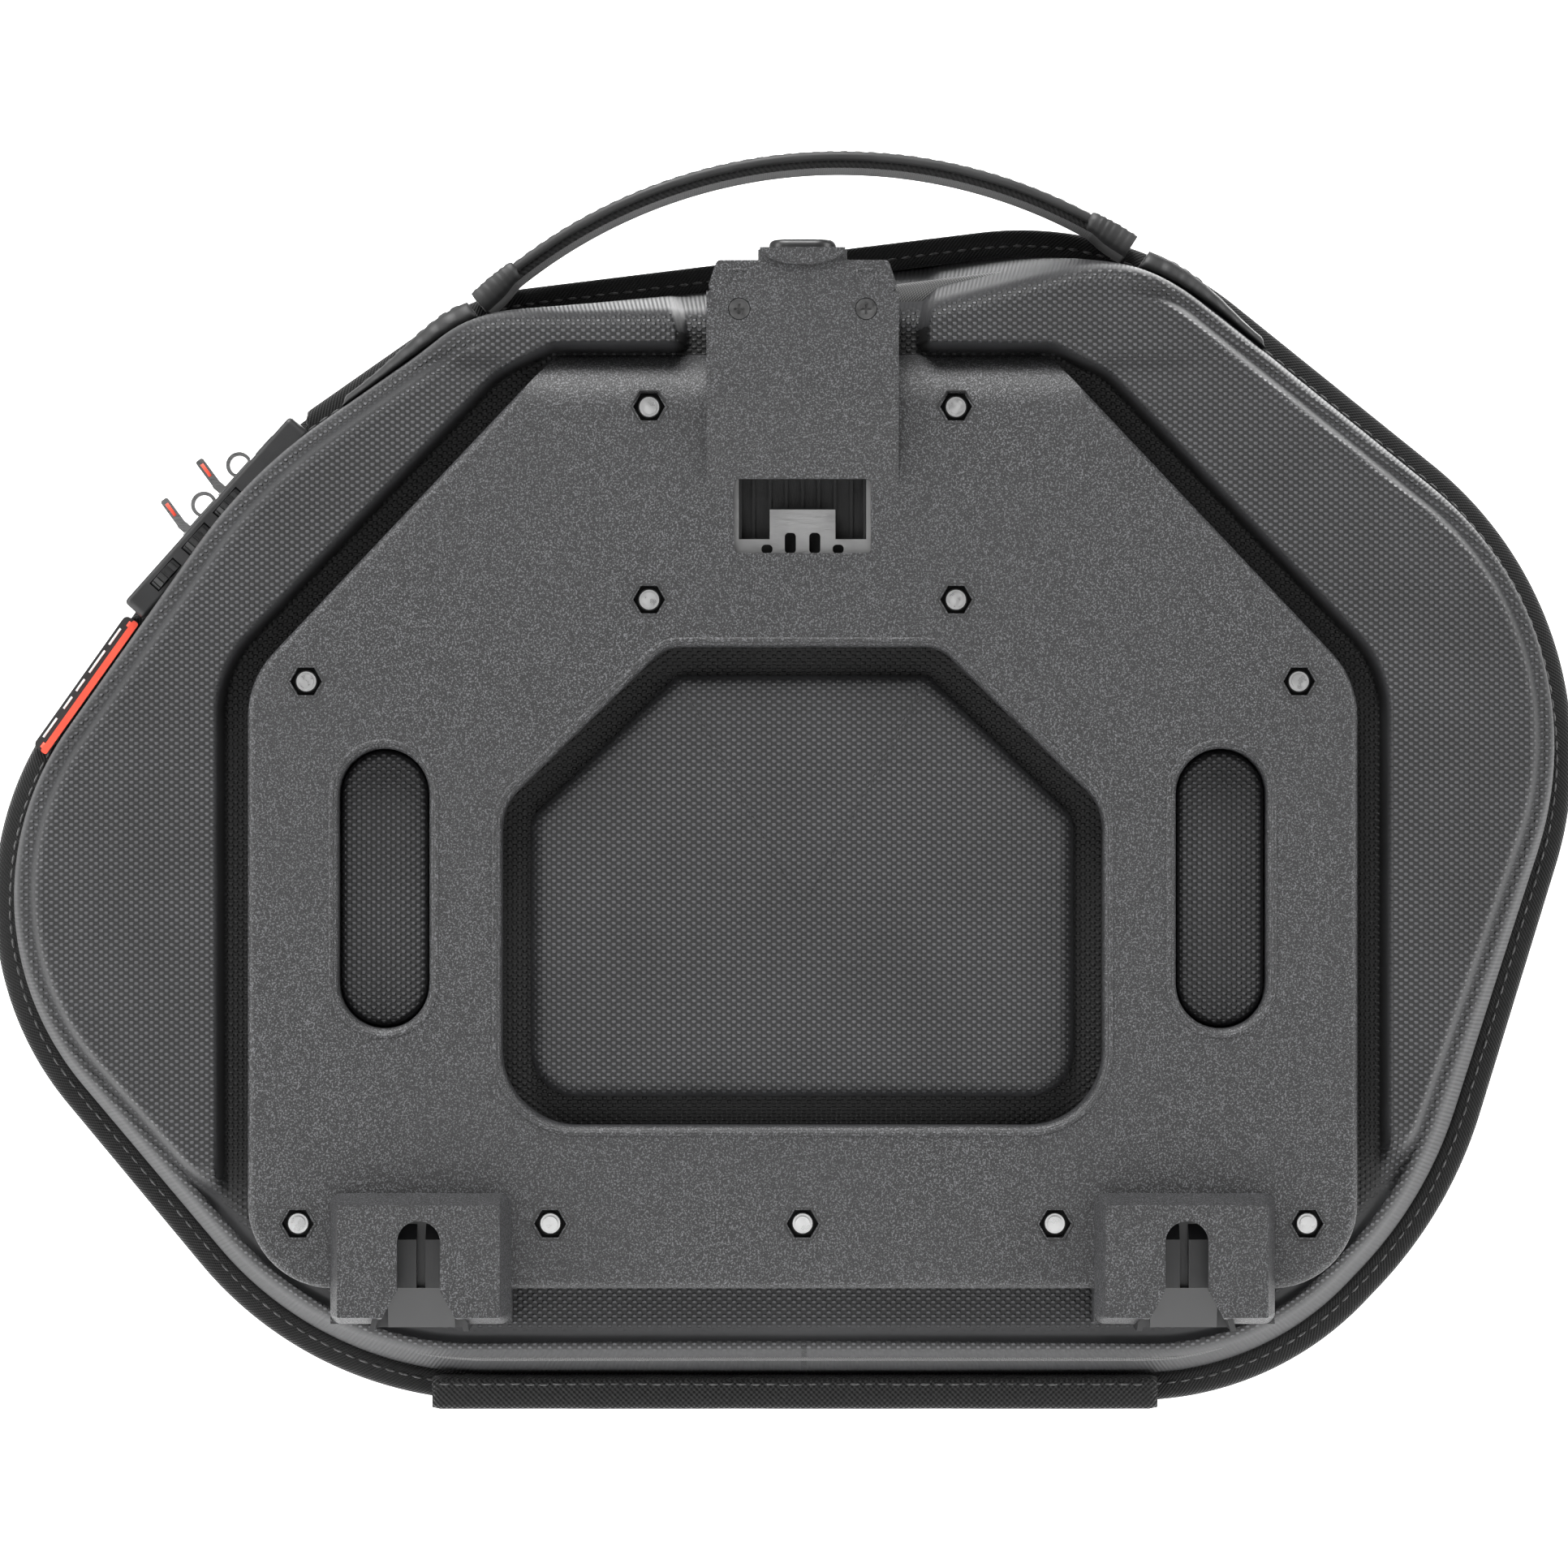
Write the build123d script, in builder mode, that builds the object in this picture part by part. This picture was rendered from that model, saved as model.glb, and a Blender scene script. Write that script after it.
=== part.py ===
"""Motorcycle side bag: two moulded half shells, a carrier plate and a locking zip.

Row frame, in millimetres: +X to the right when looking at the carrier plate, +Z up, and the
plate faces -Y. The zip plane is y = 0, and the fabric hinge panel stands on z = 0.
A depth is measured from the zip plane towards the carrier plate, so depth d lies at y = -d.
"""

import os
from math import cos, hypot, radians, sin

from build123d import *

# ---------------------------------------------------------------- bag outline (X, Z)
OUTLINE = [
    (-130.6, 1.2),
    (-242.4, 135.7),
    (-153.2, 261.5),
    (-86.0, 308.5),
    (94.1, 330.7),
    (235.2, 217.1),
    (185.0, 53.2),
    (135.3, 1.2),
]
OUTLINE_RADII = [105, 88, 150, 60, 95, 104, 122, 88]
RIM_INSET = 6.2
RIM_LIFT = 2.4

# ---------------------------------------------------------------- shells
THROUGH = 20.0  # deeper than anything it cuts through
WALL = 4.0
RIM_DEPTH = 3.4
BACK_FLOOR = 62.0
BACK_FACE = 74.0
BACK_DRAFT = 3.0
BACK_EDGE_R = 11.0
FRONT_FACE = 106.0
FRONT_DRAFT = 5.0
FRONT_EDGE_R = 26.0
TRENCH = 7.0
SHELL_HOLE_GAP = 0.2
LINER = 0.8
LINER_GAP = 0.4
LINER_FLOOR = 52.8

# ---------------------------------------------------------------- band, zip and hinge panel
BAND_EDGE = 16.0
ZIP_HALF = 3.2
PART_GAP = 0.4
PANEL_LEFT = -97.0
PANEL_RIGHT = 103.0
PANEL_HALF_DEPTH = 30.0
PANEL_T = 1.2
GUSSET_BOTTOM = 24.0
GUSSET_TOP = 205.0
GUSSET_T = 4.0

# ---------------------------------------------------------------- carrier plate
PLATE_X = 5.0
PLATE_FACE = 75.0
PLATE_SKIN = 3.0
PLATE_TOP = 289.0
PLATE_BOTTOM = 36.7
PLATE_HALF_TOP = 65.7
PLATE_HALF = 149.4
PLATE_SHOULDER = 200.5
ROLL_R = 16.0
PLATE_EDGE_R = 2.2
WINDOW = [(-37.0, 209.4), (37.0, 209.4), (81.0, 166.5), (81.0, 80.4), (-81.0, 80.4), (-81.0, 166.5)]
WINDOW_RADII = [10, 10, 14, 20, 20, 14]
PILLOW_INSET = 7.5
PILLOW_TOP = 71.0
SLOT_X = 112.7
SLOT_Z = 144.3
SLOT_W = 24.5
SLOT_L = 75.5
SLOT_PAD_TOP = 69.0
SLOT_PAD_GAP = 0.6
PLATE = [
    (-PLATE_HALF_TOP, PLATE_TOP),
    (PLATE_HALF_TOP, PLATE_TOP),
    (PLATE_HALF, PLATE_SHOULDER),
    (PLATE_HALF, PLATE_BOTTOM),
    (-PLATE_HALF, PLATE_BOTTOM),
    (-PLATE_HALF, PLATE_SHOULDER),
]
PLATE_RADII = [8, 8, 25, 23, 23, 25]

# The shell's recess is the plate's outline, open at its foot; a trench widens it all round.
RECESS = PLATE[:3] + [(PLATE_HALF, 0.0), (-PLATE_HALF, 0.0)] + PLATE[5:]
RECESS_RADII = [8, 8, 25, 5, 5, 25]

# ---------------------------------------------------------------- plate screws (M4)
SCREW_POINTS = [
    (-41.3, 274.0),
    (41.3, 274.0),
    (-41.3, 222.1),
    (41.3, 222.1),
    (-133.6, 200.1),
    (133.6, 200.1),
    (-135.8, 54.2),
    (-67.9, 54.2),
    (0.0, 54.2),
    (67.9, 54.2),
    (135.8, 54.2),
]
SCREW_R = 1.98
NUT_BORE_R = 2.0
SCREW_HOLE_R = 2.15
SCREW_HEAD_R = 4.0
SCREW_HEAD_H = 2.3
SCREW_END = 74.3
SCREW_BOSS_R = 6.8
NUT_FLATS = 7.0
NUT_SEAT = 68.8
NUT_HEX_H = 3.2
NUT_COLLAR_R = 3.0
NUT_TOP = 73.4
POCKET_FLATS = 7.5
WASHER_R = 8.0
WASHER_T = 1.0
STIFFENER_T = 1.2

# ---------------------------------------------------------------- luggage strap and cover pocket
STRAP_Z = 140.0
STRAP_W = 25.0
STRAP_T = 1.6
STRAP_FACE = LINER_FLOOR - LINER - 0.2
STRAP_LEFT = -150.0
STRAP_RIGHT = 160.0
BUCKLE_X = 5.0
BUCKLE_HALF = 24.0
BUCKLE_W = 34.0
BUCKLE_T = 8.0
POCKET_LEFT = -105.0
POCKET_RIGHT = 115.0
POCKET_LOW = 60.0
POCKET_HIGH = 190.0
POCKET_Y = FRONT_FACE - WALL - FRONT_EDGE_R + RIM_DEPTH + 2 - LINER - 0.3
BINDING_W = 6.0
BINDING_T = 3.4

# ---------------------------------------------------------------- latch tower
TOWER_HALF = 25.8
TOWER_FACE = 81.0
TOWER_TOP = 304.7
TOWER_FOOT = 252.0
TOWER_RISE = 276.0
LATCH_W = 36.8
LATCH_H = 19.9
LATCH_Z = 244.6
CHANNEL_HALF = 22.6
CHANNEL_FLOOR = 214.0
CHANNEL_FACE = 72.0
HOUSING_FACE = 68.0
STEEL_BACK = 69.0
STEEL_T = 1.2
STEEL_HALF = 21.6
STEEL_BOTTOM = 228.0
BAND_TOP = 238.5
OPENING_HALF = 17.2
OPENING_TOP = 258.0
TONGUE_HALF = 8.85
TONGUE_TOP = 246.5
NECK_HALF = 9.0
NECK_TOP = 300.0
SPRING_X = 15.0
SPRING_R = 1.2
SPRING_WIRE_R = 0.25
SPRING_PITCH = 1.9
RELEASE_TRAVEL = 4.5
CAP_TOP = 313.0
CAP_TOP_HALF = 23.0
COLLAR_TOP = 316.4
COLLAR_W = 24.0
BUTTON_W = 18.0
BUTTON_D = 11.0
BUTTON_TOP = 319.0
BUTTON_DEPTH = 71.5
CAP_SCREW_X = 17.0
CAP_SCREW_Z = 299.9

# ---------------------------------------------------------------- hook bosses
BOSS_X = 102.7
BOSS_W = 48.6
BOSS_TOP = 62.5
BOSS_BOTTOM = 27.3
BOSS_FACE = 87.0
BOSS_TAPER = 12.0
KEY_R = 5.8
KEY_Z = 49.9
KEY_FLARE_Z = 36.9
KEY_MOUTH_HALF = 11.9
LIP_T = 3.0
HEAD_R = 9.0
GUIDE_WALL = 1.5
GUIDE_BACK = 67.0
GUIDE_FLOOR = 70.0
RAMP_H = 4.0
GROOVE_HALF = 1.2

# ---------------------------------------------------------------- handle
HANDLE_LEFT = (-83.0, 307.5)
HANDLE_CROWN = (7.0, 345.5)
HANDLE_RIGHT = (94.1, 322.7)
HANDLE_DEPTH = 30.0
HANDLE_W = 26.0
GRIP_T = 2.7
WEBBING_T = 1.8
GRIP_LEFT_X = -50.0
GRIP_RIGHT_X = 48.0

ANCHOR_LEFT = (-121.0, -83.5)
ANCHOR_RIGHT = (97.0, 132.0)
ANCHOR_T = 3.6

# ---------------------------------------------------------------- lock and zip pullers
LOCK_CENTRE = (-157.0, 246.2)
LOCK_TURN = radians(48.3)
LOCK_L = 69.0
LOCK_T = 7.2
LOCK_NEAR = 2.6
LOCK_FAR = 23.0
DIAL_R = 6.0
DIAL_T = 2.8
DIAL_PITCH = 13.1
DIAL_PROUD = 1.8
DIAL_SHIFT = -8.0
DIAL_TEETH = 20
RELEASE_ALONG = 25.0
RELEASE_L = 7.0
RELEASE_W = 5.0
RELEASE_SLIDE = 3.0
SLIDER_ALONG = [-3.6, 11.2]
SLIDER_BASE = 4.5
SLIDER_L = 13.6
ARCH_ALONG = 3.4
ARCH_HALF = 3.4
ARCH_H = 5.0
ARCH_T = 1.1
PIVOT_ALONG = -4.9
PIVOT_OUT = 7.8
TAB_L = 10.0
TAB_T = 2.4
TAB_LEAN = radians(12)
BADGE_START = Vector(-206.0, 0, 181.5)
BADGE_END = Vector(-180.2, 0, 217.8)
BADGE_BASE_T = 0.9
BADGE_RIB_T = 1.2


def side_plane(depth, lift=0.0):
    """A drawing plane parallel to the plate: local x is X, local y is Z, normal towards the plate."""
    return Plane(origin=(0, -depth, lift), x_dir=(1, 0, 0), z_dir=(0, -1, 0))


def bag_sketch(plane, inset):
    """The bag's outline on a plane, drawn in by inset."""
    with BuildSketch(plane) as drawn:
        with BuildLine():
            FilletPolyline(*OUTLINE, radius=OUTLINE_RADII, close=True)
        make_face()
        if inset:
            offset(amount=-inset, mode=Mode.REPLACE)
    return drawn.sketch


def bag_block(near, far, inset, lift=0.0, taper=0.0, mode=Mode.ADD):
    """The outline drawn in by inset, from depth near to depth far, in the open part."""
    extrude(bag_sketch(side_plane(near, lift), inset), amount=far - near, taper=taper, mode=mode)


def plate_sketch(plane, points, radii, grow=0.0):
    """A filleted outline about the plate's centre line, grown or shrunk, on a plane."""
    with BuildSketch(plane) as drawn:
        with BuildLine():
            FilletPolyline(*[(x + PLATE_X, z) for x, z in points], radius=radii, close=True)
        make_face()
        if grow:
            offset(amount=grow, mode=Mode.REPLACE)
    return drawn.sketch


def slot_sketch(plane, grow=0.0):
    """The two upright hand slots of the plate, on a plane."""
    with BuildSketch(plane) as drawn:
        with Locations((PLATE_X - SLOT_X, SLOT_Z), (PLATE_X + SLOT_X, SLOT_Z)):
            SlotOverall(SLOT_L + 2 * grow, SLOT_W + 2 * grow, rotation=90)
    return drawn.sketch


def screw_sketch(plane, radius):
    """A circle at each of the eleven plate screws, on a plane."""
    with BuildSketch(plane) as drawn:
        with Locations(*[(x + PLATE_X, z) for x, z in SCREW_POINTS]):
            Circle(radius)
    return drawn.sketch


def box_between(low, high, mode=Mode.ADD):
    """A box from its lowest to its highest corner, in the open part."""
    centre = [(a + b) / 2 for a, b in zip(low, high)]
    with Locations(tuple(centre)):
        Box(*[b - a for a, b in zip(low, high)], mode=mode)


def lock_plane(along=0.0, out=0.0, depth=0.0):
    """A plane on the lock: local x along it, local y towards the cover, normal out of the bag."""
    ahead = Vector(cos(LOCK_TURN), 0, sin(LOCK_TURN))
    outward = Vector(-sin(LOCK_TURN), 0, cos(LOCK_TURN))
    origin = Vector(LOCK_CENTRE[0], -depth, LOCK_CENTRE[1]) + ahead * along + outward * out
    return Plane(origin=origin, x_dir=ahead, z_dir=outward)


def cut_lock_space(clear):
    """Cuts the lock's space, dials included and open to the outside, from the open part."""
    far = LOCK_FAR + DIAL_PROUD + 0.3
    with BuildSketch(lock_plane(out=-LOCK_T / 2 - clear, depth=(LOCK_NEAR + far) / 2)) as drawn:
        Rectangle(LOCK_L + 2 * clear, far - LOCK_NEAR + 2 * clear)
    extrude(drawn.sketch, amount=2 * LOCK_T, mode=Mode.SUBTRACT)


def circle_through(a, b, c):
    """Centre and radius of the circle through three points."""
    (ax, ay), (bx, by), (cx, cy) = a, b, c
    d = 2 * (ax * (by - cy) + bx * (cy - ay) + cx * (ay - by))
    ux = ((ax**2 + ay**2) * (by - cy) + (bx**2 + by**2) * (cy - ay) + (cx**2 + cy**2) * (ay - by)) / d
    uy = ((ax**2 + ay**2) * (cx - bx) + (bx**2 + by**2) * (ax - cx) + (cx**2 + cy**2) * (bx - ax)) / d
    return (ux, uy), hypot(ax - ux, ay - uy)


def boss_centre(side):
    """The X of the left (-1) or right (1) hook boss."""
    return PLATE_X + side * BOSS_X


def key_sketch(plane, side, slot_r, grow=0.0):
    """A keyhole open at its foot: a round-topped slot that flares into a wide mouth."""
    x = boss_centre(side)
    r = slot_r + grow
    mouth = KEY_MOUTH_HALF + grow
    with BuildSketch(plane) as drawn:
        with BuildLine():
            Polyline(
                (x + r, KEY_Z),
                (x + r, KEY_FLARE_Z),
                (x + mouth, BOSS_BOTTOM - 1.3),
                (x - mouth, BOSS_BOTTOM - 1.3),
                (x - r, KEY_FLARE_Z),
                (x - r, KEY_Z),
            )
            ThreePointArc((x - r, KEY_Z), (x, KEY_Z + r), (x + r, KEY_Z))
        make_face()
    return drawn.sketch


def solid_zones(plane):
    """Where the plate stays solid: behind the bosses, the tower and the rolled top edge."""
    with BuildSketch(plane) as drawn:
        with Locations(*[(boss_centre(side), (BOSS_TOP + BOSS_BOTTOM) / 2) for side in (-1, 1)]):
            Rectangle(BOSS_W, BOSS_TOP - BOSS_BOTTOM + 6)
        with Locations((PLATE_X, PLATE_TOP - 30)):
            Rectangle(2 * TOWER_HALF, 100)
        with Locations((PLATE_X, PLATE_TOP)):
            Rectangle(2 * PLATE_HALF, 2 * ROLL_R + 4)
    return drawn.sketch


def handle_point(x, radius):
    """The point of the handle's arc of this radius on the ray through x on its outer arc."""
    up = (HANDLE_R**2 - (x - HANDLE_CENTRE[0]) ** 2) ** 0.5
    scale = radius / HANDLE_R
    return (HANDLE_CENTRE[0] + (x - HANDLE_CENTRE[0]) * scale, HANDLE_CENTRE[1] + up * scale)


def handle_strap(left, right, outer, inner):
    """A curved strap between two radii, from the ray at x left to the ray at x right."""
    middle = (left + right) / 2
    with BuildSketch(side_plane(HANDLE_DEPTH)) as drawn:
        with BuildLine():
            ThreePointArc(*[handle_point(x, outer) for x in (left, middle, right)])
            Line(handle_point(right, outer), handle_point(right, inner))
            ThreePointArc(*[handle_point(x, inner) for x in (right, middle, left)])
            Line(handle_point(left, inner), handle_point(left, outer))
        make_face()
    return drawn.sketch


def dial_plane(index, out=0.0):
    """The plane of one dial, across its axis."""
    return lock_plane((index - 1) * DIAL_PITCH + DIAL_SHIFT, out, LOCK_FAR + DIAL_PROUD - DIAL_R)


def zip_plane(along, out, depth=-0.6, lean=0.0):
    """A plane across the pull tabs' pivots: local x along the lock, local y out of the bag."""
    middle = lock_plane(along, out, depth)
    level = middle.x_dir * cos(lean) - middle.z_dir * sin(lean)
    return Plane(origin=middle.origin, x_dir=level, z_dir=(0, -1, 0))


def badge_strip(across, width, low, high):
    """A strip along the badge, offset across it, between two depths, in the open part."""
    middle = (BADGE_START + BADGE_END) * 0.5
    ahead = BADGE_END - BADGE_START
    plane = Plane(origin=middle - Vector(0, low, 0), x_dir=ahead.normalized(), z_dir=(0, -1, 0))
    with BuildSketch(plane) as drawn:
        with Locations((0, across)):
            RectangleRounded(ahead.length, width, width / 3)
    extrude(drawn.sketch, amount=high - low)


def export(piece, name):
    """Labels a finished piece and writes it."""
    piece.label = name
    export_step(piece, f"parts/{name}.step")


HANDLE_CENTRE, HANDLE_R = circle_through(HANDLE_LEFT, HANDLE_CROWN, HANDLE_RIGHT)
os.makedirs("parts", exist_ok=True)

# ================================================================ back shell
with BuildPart() as back_shell:
    bag_block(RIM_DEPTH, BACK_FACE, RIM_INSET, RIM_LIFT, BACK_DRAFT)
    fillet(back_shell.faces().sort_by(Axis.Y)[0].edges(), BACK_EDGE_R)
    # recess for the plate, open at its foot, and for the latch tower
    recess = plate_sketch(side_plane(BACK_FLOOR), RECESS, RECESS_RADII, TRENCH)
    extrude(recess, amount=THROUGH, mode=Mode.SUBTRACT)
    box_between(
        (PLATE_X - TOWER_HALF - TRENCH, -90, PLATE_TOP - 10),
        (PLATE_X + TOWER_HALF + TRENCH, -BACK_FLOOR, 350),
        Mode.SUBTRACT,
    )
    # hollow inside
    bag_block(RIM_DEPTH - 1, BACK_FLOOR - WALL, RIM_INSET + WALL, RIM_LIFT, BACK_DRAFT, Mode.SUBTRACT)
    # padded pillow in the plate's window, and low pads behind its slots
    pillow = plate_sketch(side_plane(BACK_FLOOR), WINDOW, WINDOW_RADII, -PILLOW_INSET)
    extrude(pillow, amount=PILLOW_TOP - BACK_FLOOR)
    extrude(slot_sketch(side_plane(BACK_FLOOR), -SLOT_PAD_GAP), amount=SLOT_PAD_TOP - BACK_FLOOR)
    extrude(screw_sketch(side_plane(BACK_FLOOR - WALL), SCREW_HOLE_R), amount=WALL, mode=Mode.SUBTRACT)
    cut_lock_space(SHELL_HOLE_GAP)
export(back_shell.part, "back_shell")

# ================================================================ cover shell
with BuildPart() as front_core:
    core = bag_sketch(side_plane(1 - RIM_DEPTH, RIM_LIFT), RIM_INSET + WALL)
    extrude(core, amount=RIM_DEPTH - 1 + WALL - FRONT_FACE, taper=FRONT_DRAFT)
    fillet(front_core.faces().sort_by(Axis.Y)[-1].edges(), FRONT_EDGE_R - WALL)

with BuildPart() as front_shell:
    skin = bag_sketch(side_plane(-RIM_DEPTH, RIM_LIFT), RIM_INSET)
    extrude(skin, amount=RIM_DEPTH - FRONT_FACE, taper=FRONT_DRAFT)
    fillet(front_shell.faces().sort_by(Axis.Y)[-1].edges(), FRONT_EDGE_R)
    add(front_core.part, mode=Mode.SUBTRACT)
export(front_shell.part, "front_shell")

# ================================================================ edge bands and zip
for name, side in (("back_band", 1), ("front_band", -1)):
    with BuildPart() as band:
        extrude(bag_sketch(side_plane(side * RIM_DEPTH), 0), amount=side * (BAND_EDGE - RIM_DEPTH))
        extrude(
            bag_sketch(side_plane(side * (RIM_DEPTH - 1), RIM_LIFT), RIM_INSET),
            amount=side * BAND_EDGE,
            mode=Mode.SUBTRACT,
        )
        if side > 0:
            cut_lock_space(SHELL_HOLE_GAP)
    export(band.part, name)

for name, side in (("zip_chain_back", 1), ("zip_chain_front", -1)):
    with BuildPart() as chain:
        extrude(bag_sketch(side_plane(side * PART_GAP / 2), 1.5), amount=side * (ZIP_HALF - PART_GAP / 2))
        extrude(bag_sketch(side_plane(0), 5.5), amount=side * ZIP_HALF, mode=Mode.SUBTRACT)
        # the fabric hinge takes the zip's place along the foot of the bag
        box_between((PANEL_LEFT, -10, -1), (PANEL_RIGHT, 10, 20), Mode.SUBTRACT)
        if side > 0:
            cut_lock_space(SHELL_HOLE_GAP)
    export(chain.part, name)

for name, near, far in (
    ("hinge_panel_back", -PANEL_HALF_DEPTH, 0),
    ("hinge_panel_front", PART_GAP, PANEL_HALF_DEPTH),
):
    with BuildPart() as panel:
        box_between((PANEL_LEFT, near, 0), (PANEL_RIGHT, far, PANEL_T))
    export(panel.part, name)

# ================================================================ linings
with BuildPart() as back_liner:
    start = RIM_DEPTH + 2
    inset = RIM_INSET + WALL + LINER_GAP + 3
    bag_block(start, LINER_FLOOR, inset, RIM_LIFT)
    bag_block(start - 1, LINER_FLOOR - LINER, inset + LINER, RIM_LIFT, 0, Mode.SUBTRACT)
export(back_liner.part, "back_liner")

with BuildPart() as front_liner:
    depth = FRONT_FACE - WALL - FRONT_EDGE_R
    inset = RIM_INSET + WALL + LINER_GAP + 12
    extrude(bag_sketch(side_plane(-RIM_DEPTH - 2, RIM_LIFT), inset), amount=-depth)
    extrude(
        bag_sketch(side_plane(-RIM_DEPTH - 1, RIM_LIFT), inset + LINER),
        amount=LINER - 1 - depth,
        mode=Mode.SUBTRACT,
    )
export(front_liner.part, "front_liner")

# ================================================================ side gussets (folded flat)
for name, low_x, high_x in (("gusset_left", -260, -60), ("gusset_right", 60, 260)):
    with BuildPart() as gusset:
        inset = RIM_INSET + WALL + 0.8
        extrude(bag_sketch(side_plane(RIM_DEPTH + 1, RIM_LIFT), inset), amount=-2 * RIM_DEPTH - 2)
        extrude(bag_sketch(side_plane(20, RIM_LIFT), inset + GUSSET_T), amount=-40, mode=Mode.SUBTRACT)
        box_between((low_x, -30, GUSSET_BOTTOM), (high_x, 30, GUSSET_TOP), Mode.INTERSECT)
    export(gusset.part, name)

# ================================================================ carrier plate with tower and bosses
with BuildPart() as mounting_plate:
    extrude(plate_sketch(side_plane(BACK_FLOOR), PLATE, PLATE_RADII), amount=PLATE_FACE - BACK_FLOOR)
    extrude(plate_sketch(side_plane(BACK_FLOOR), WINDOW, WINDOW_RADII), amount=THROUGH, mode=Mode.SUBTRACT)
    extrude(slot_sketch(side_plane(BACK_FLOOR)), amount=THROUGH, mode=Mode.SUBTRACT)
    fillet(mounting_plate.faces().sort_by(Axis.Y)[0].edges(), PLATE_EDGE_R)
    # the top edge rolls back towards the shell
    with BuildSketch(Plane.YZ.offset(PLATE_X - PLATE_HALF)) as roll:
        with BuildLine():
            CenterArc((-PLATE_FACE + ROLL_R, PLATE_TOP - ROLL_R), ROLL_R, 90, 90)
            Polyline(
                (-PLATE_FACE + ROLL_R, PLATE_TOP),
                (-PLATE_FACE + ROLL_R, PLATE_TOP + 9),
                (-PLATE_FACE - 9, PLATE_TOP + 9),
                (-PLATE_FACE - 9, PLATE_TOP - ROLL_R),
                (-PLATE_FACE, PLATE_TOP - ROLL_R),
            )
        make_face()
    extrude(amount=2 * PLATE_HALF, mode=Mode.SUBTRACT)
    # latch tower: proud of the plate at its top, running out into it at its foot
    with BuildSketch(Plane.YZ.offset(PLATE_X - TOWER_HALF)) as tower_side:
        with BuildLine():
            Polyline(
                (-BACK_FLOOR, TOWER_FOOT - 8),
                (-PLATE_FACE + 0.2, TOWER_FOOT - 8),
                (-PLATE_FACE, TOWER_FOOT),
                (-TOWER_FACE, TOWER_RISE),
                (-TOWER_FACE, TOWER_TOP),
                (-BACK_FLOOR, TOWER_TOP),
                close=True,
            )
        make_face()
    extrude(amount=2 * TOWER_HALF)
    # hook bosses
    for side in (-1, 1):
        x = boss_centre(side)
        box_between((x - BOSS_W / 2, -PLATE_FACE, BOSS_BOTTOM), (x + BOSS_W / 2, -BACK_FLOOR, BOSS_TOP))
        with BuildSketch(side_plane(PLATE_FACE)) as foot:
            with Locations((x, (BOSS_TOP + BOSS_BOTTOM) / 2)):
                RectangleRounded(BOSS_W, BOSS_TOP - BOSS_BOTTOM, 3)
        extrude(amount=BOSS_FACE - PLATE_FACE, taper=BOSS_TAPER)
    # hollow underside between the outer skirt, the window and slot skirts and the screw bosses
    hollow = (
        plate_sketch(side_plane(BACK_FLOOR), PLATE, PLATE_RADII, -PLATE_SKIN)
        - plate_sketch(side_plane(BACK_FLOOR), WINDOW, WINDOW_RADII, PLATE_SKIN)
        - slot_sketch(side_plane(BACK_FLOOR), PLATE_SKIN)
        - screw_sketch(side_plane(BACK_FLOOR), SCREW_BOSS_R)
    )
    hollow = hollow - solid_zones(side_plane(BACK_FLOOR))
    extrude(hollow, amount=PLATE_FACE - PLATE_SKIN - BACK_FLOOR, mode=Mode.SUBTRACT)
    # latch channel, open behind, and the latch window in front of it
    box_between(
        (PLATE_X - CHANNEL_HALF, -CHANNEL_FACE, CHANNEL_FLOOR),
        (PLATE_X + CHANNEL_HALF, -BACK_FLOOR + 1, TOWER_TOP + 1),
        Mode.SUBTRACT,
    )
    with BuildSketch(side_plane(CHANNEL_FACE - 1)) as opening:
        with Locations((PLATE_X, LATCH_Z)):
            RectangleRounded(LATCH_W, LATCH_H, 1.2)
    extrude(amount=THROUGH, mode=Mode.SUBTRACT)
    # keyhole pockets for the hook guides
    for side in (-1, 1):
        extrude(
            key_sketch(side_plane(GUIDE_BACK), side, HEAD_R, GUIDE_WALL + 0.05),
            amount=BOSS_FACE - LIP_T - GUIDE_BACK,
            mode=Mode.SUBTRACT,
        )
        extrude(key_sketch(side_plane(BOSS_FACE - LIP_T - 1), side, KEY_R), amount=10, mode=Mode.SUBTRACT)
    # screw holes and hexagonal nut pockets
    extrude(screw_sketch(side_plane(BACK_FLOOR), SCREW_HOLE_R), amount=THROUGH, mode=Mode.SUBTRACT)
    with BuildSketch(side_plane(NUT_SEAT)) as pockets:
        with Locations(*[(x + PLATE_X, z) for x, z in SCREW_POINTS]):
            RegularPolygon(POCKET_FLATS / 2, 6, major_radius=False)
    extrude(amount=THROUGH, mode=Mode.SUBTRACT)
    # cap screw holes in the tower's face
    with BuildSketch(side_plane(CHANNEL_FACE)) as cap_holes:
        with Locations((PLATE_X - CAP_SCREW_X, CAP_SCREW_Z), (PLATE_X + CAP_SCREW_X, CAP_SCREW_Z)):
            Circle(1.6)
    extrude(amount=THROUGH, mode=Mode.SUBTRACT)
    with BuildSketch(side_plane(TOWER_FACE - 1.6)) as cap_sinks:
        with Locations((PLATE_X - CAP_SCREW_X, CAP_SCREW_Z), (PLATE_X + CAP_SCREW_X, CAP_SCREW_Z)):
            Circle(3.0)
    extrude(amount=5, mode=Mode.SUBTRACT)
export(mounting_plate.part, "mounting_plate")

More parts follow.
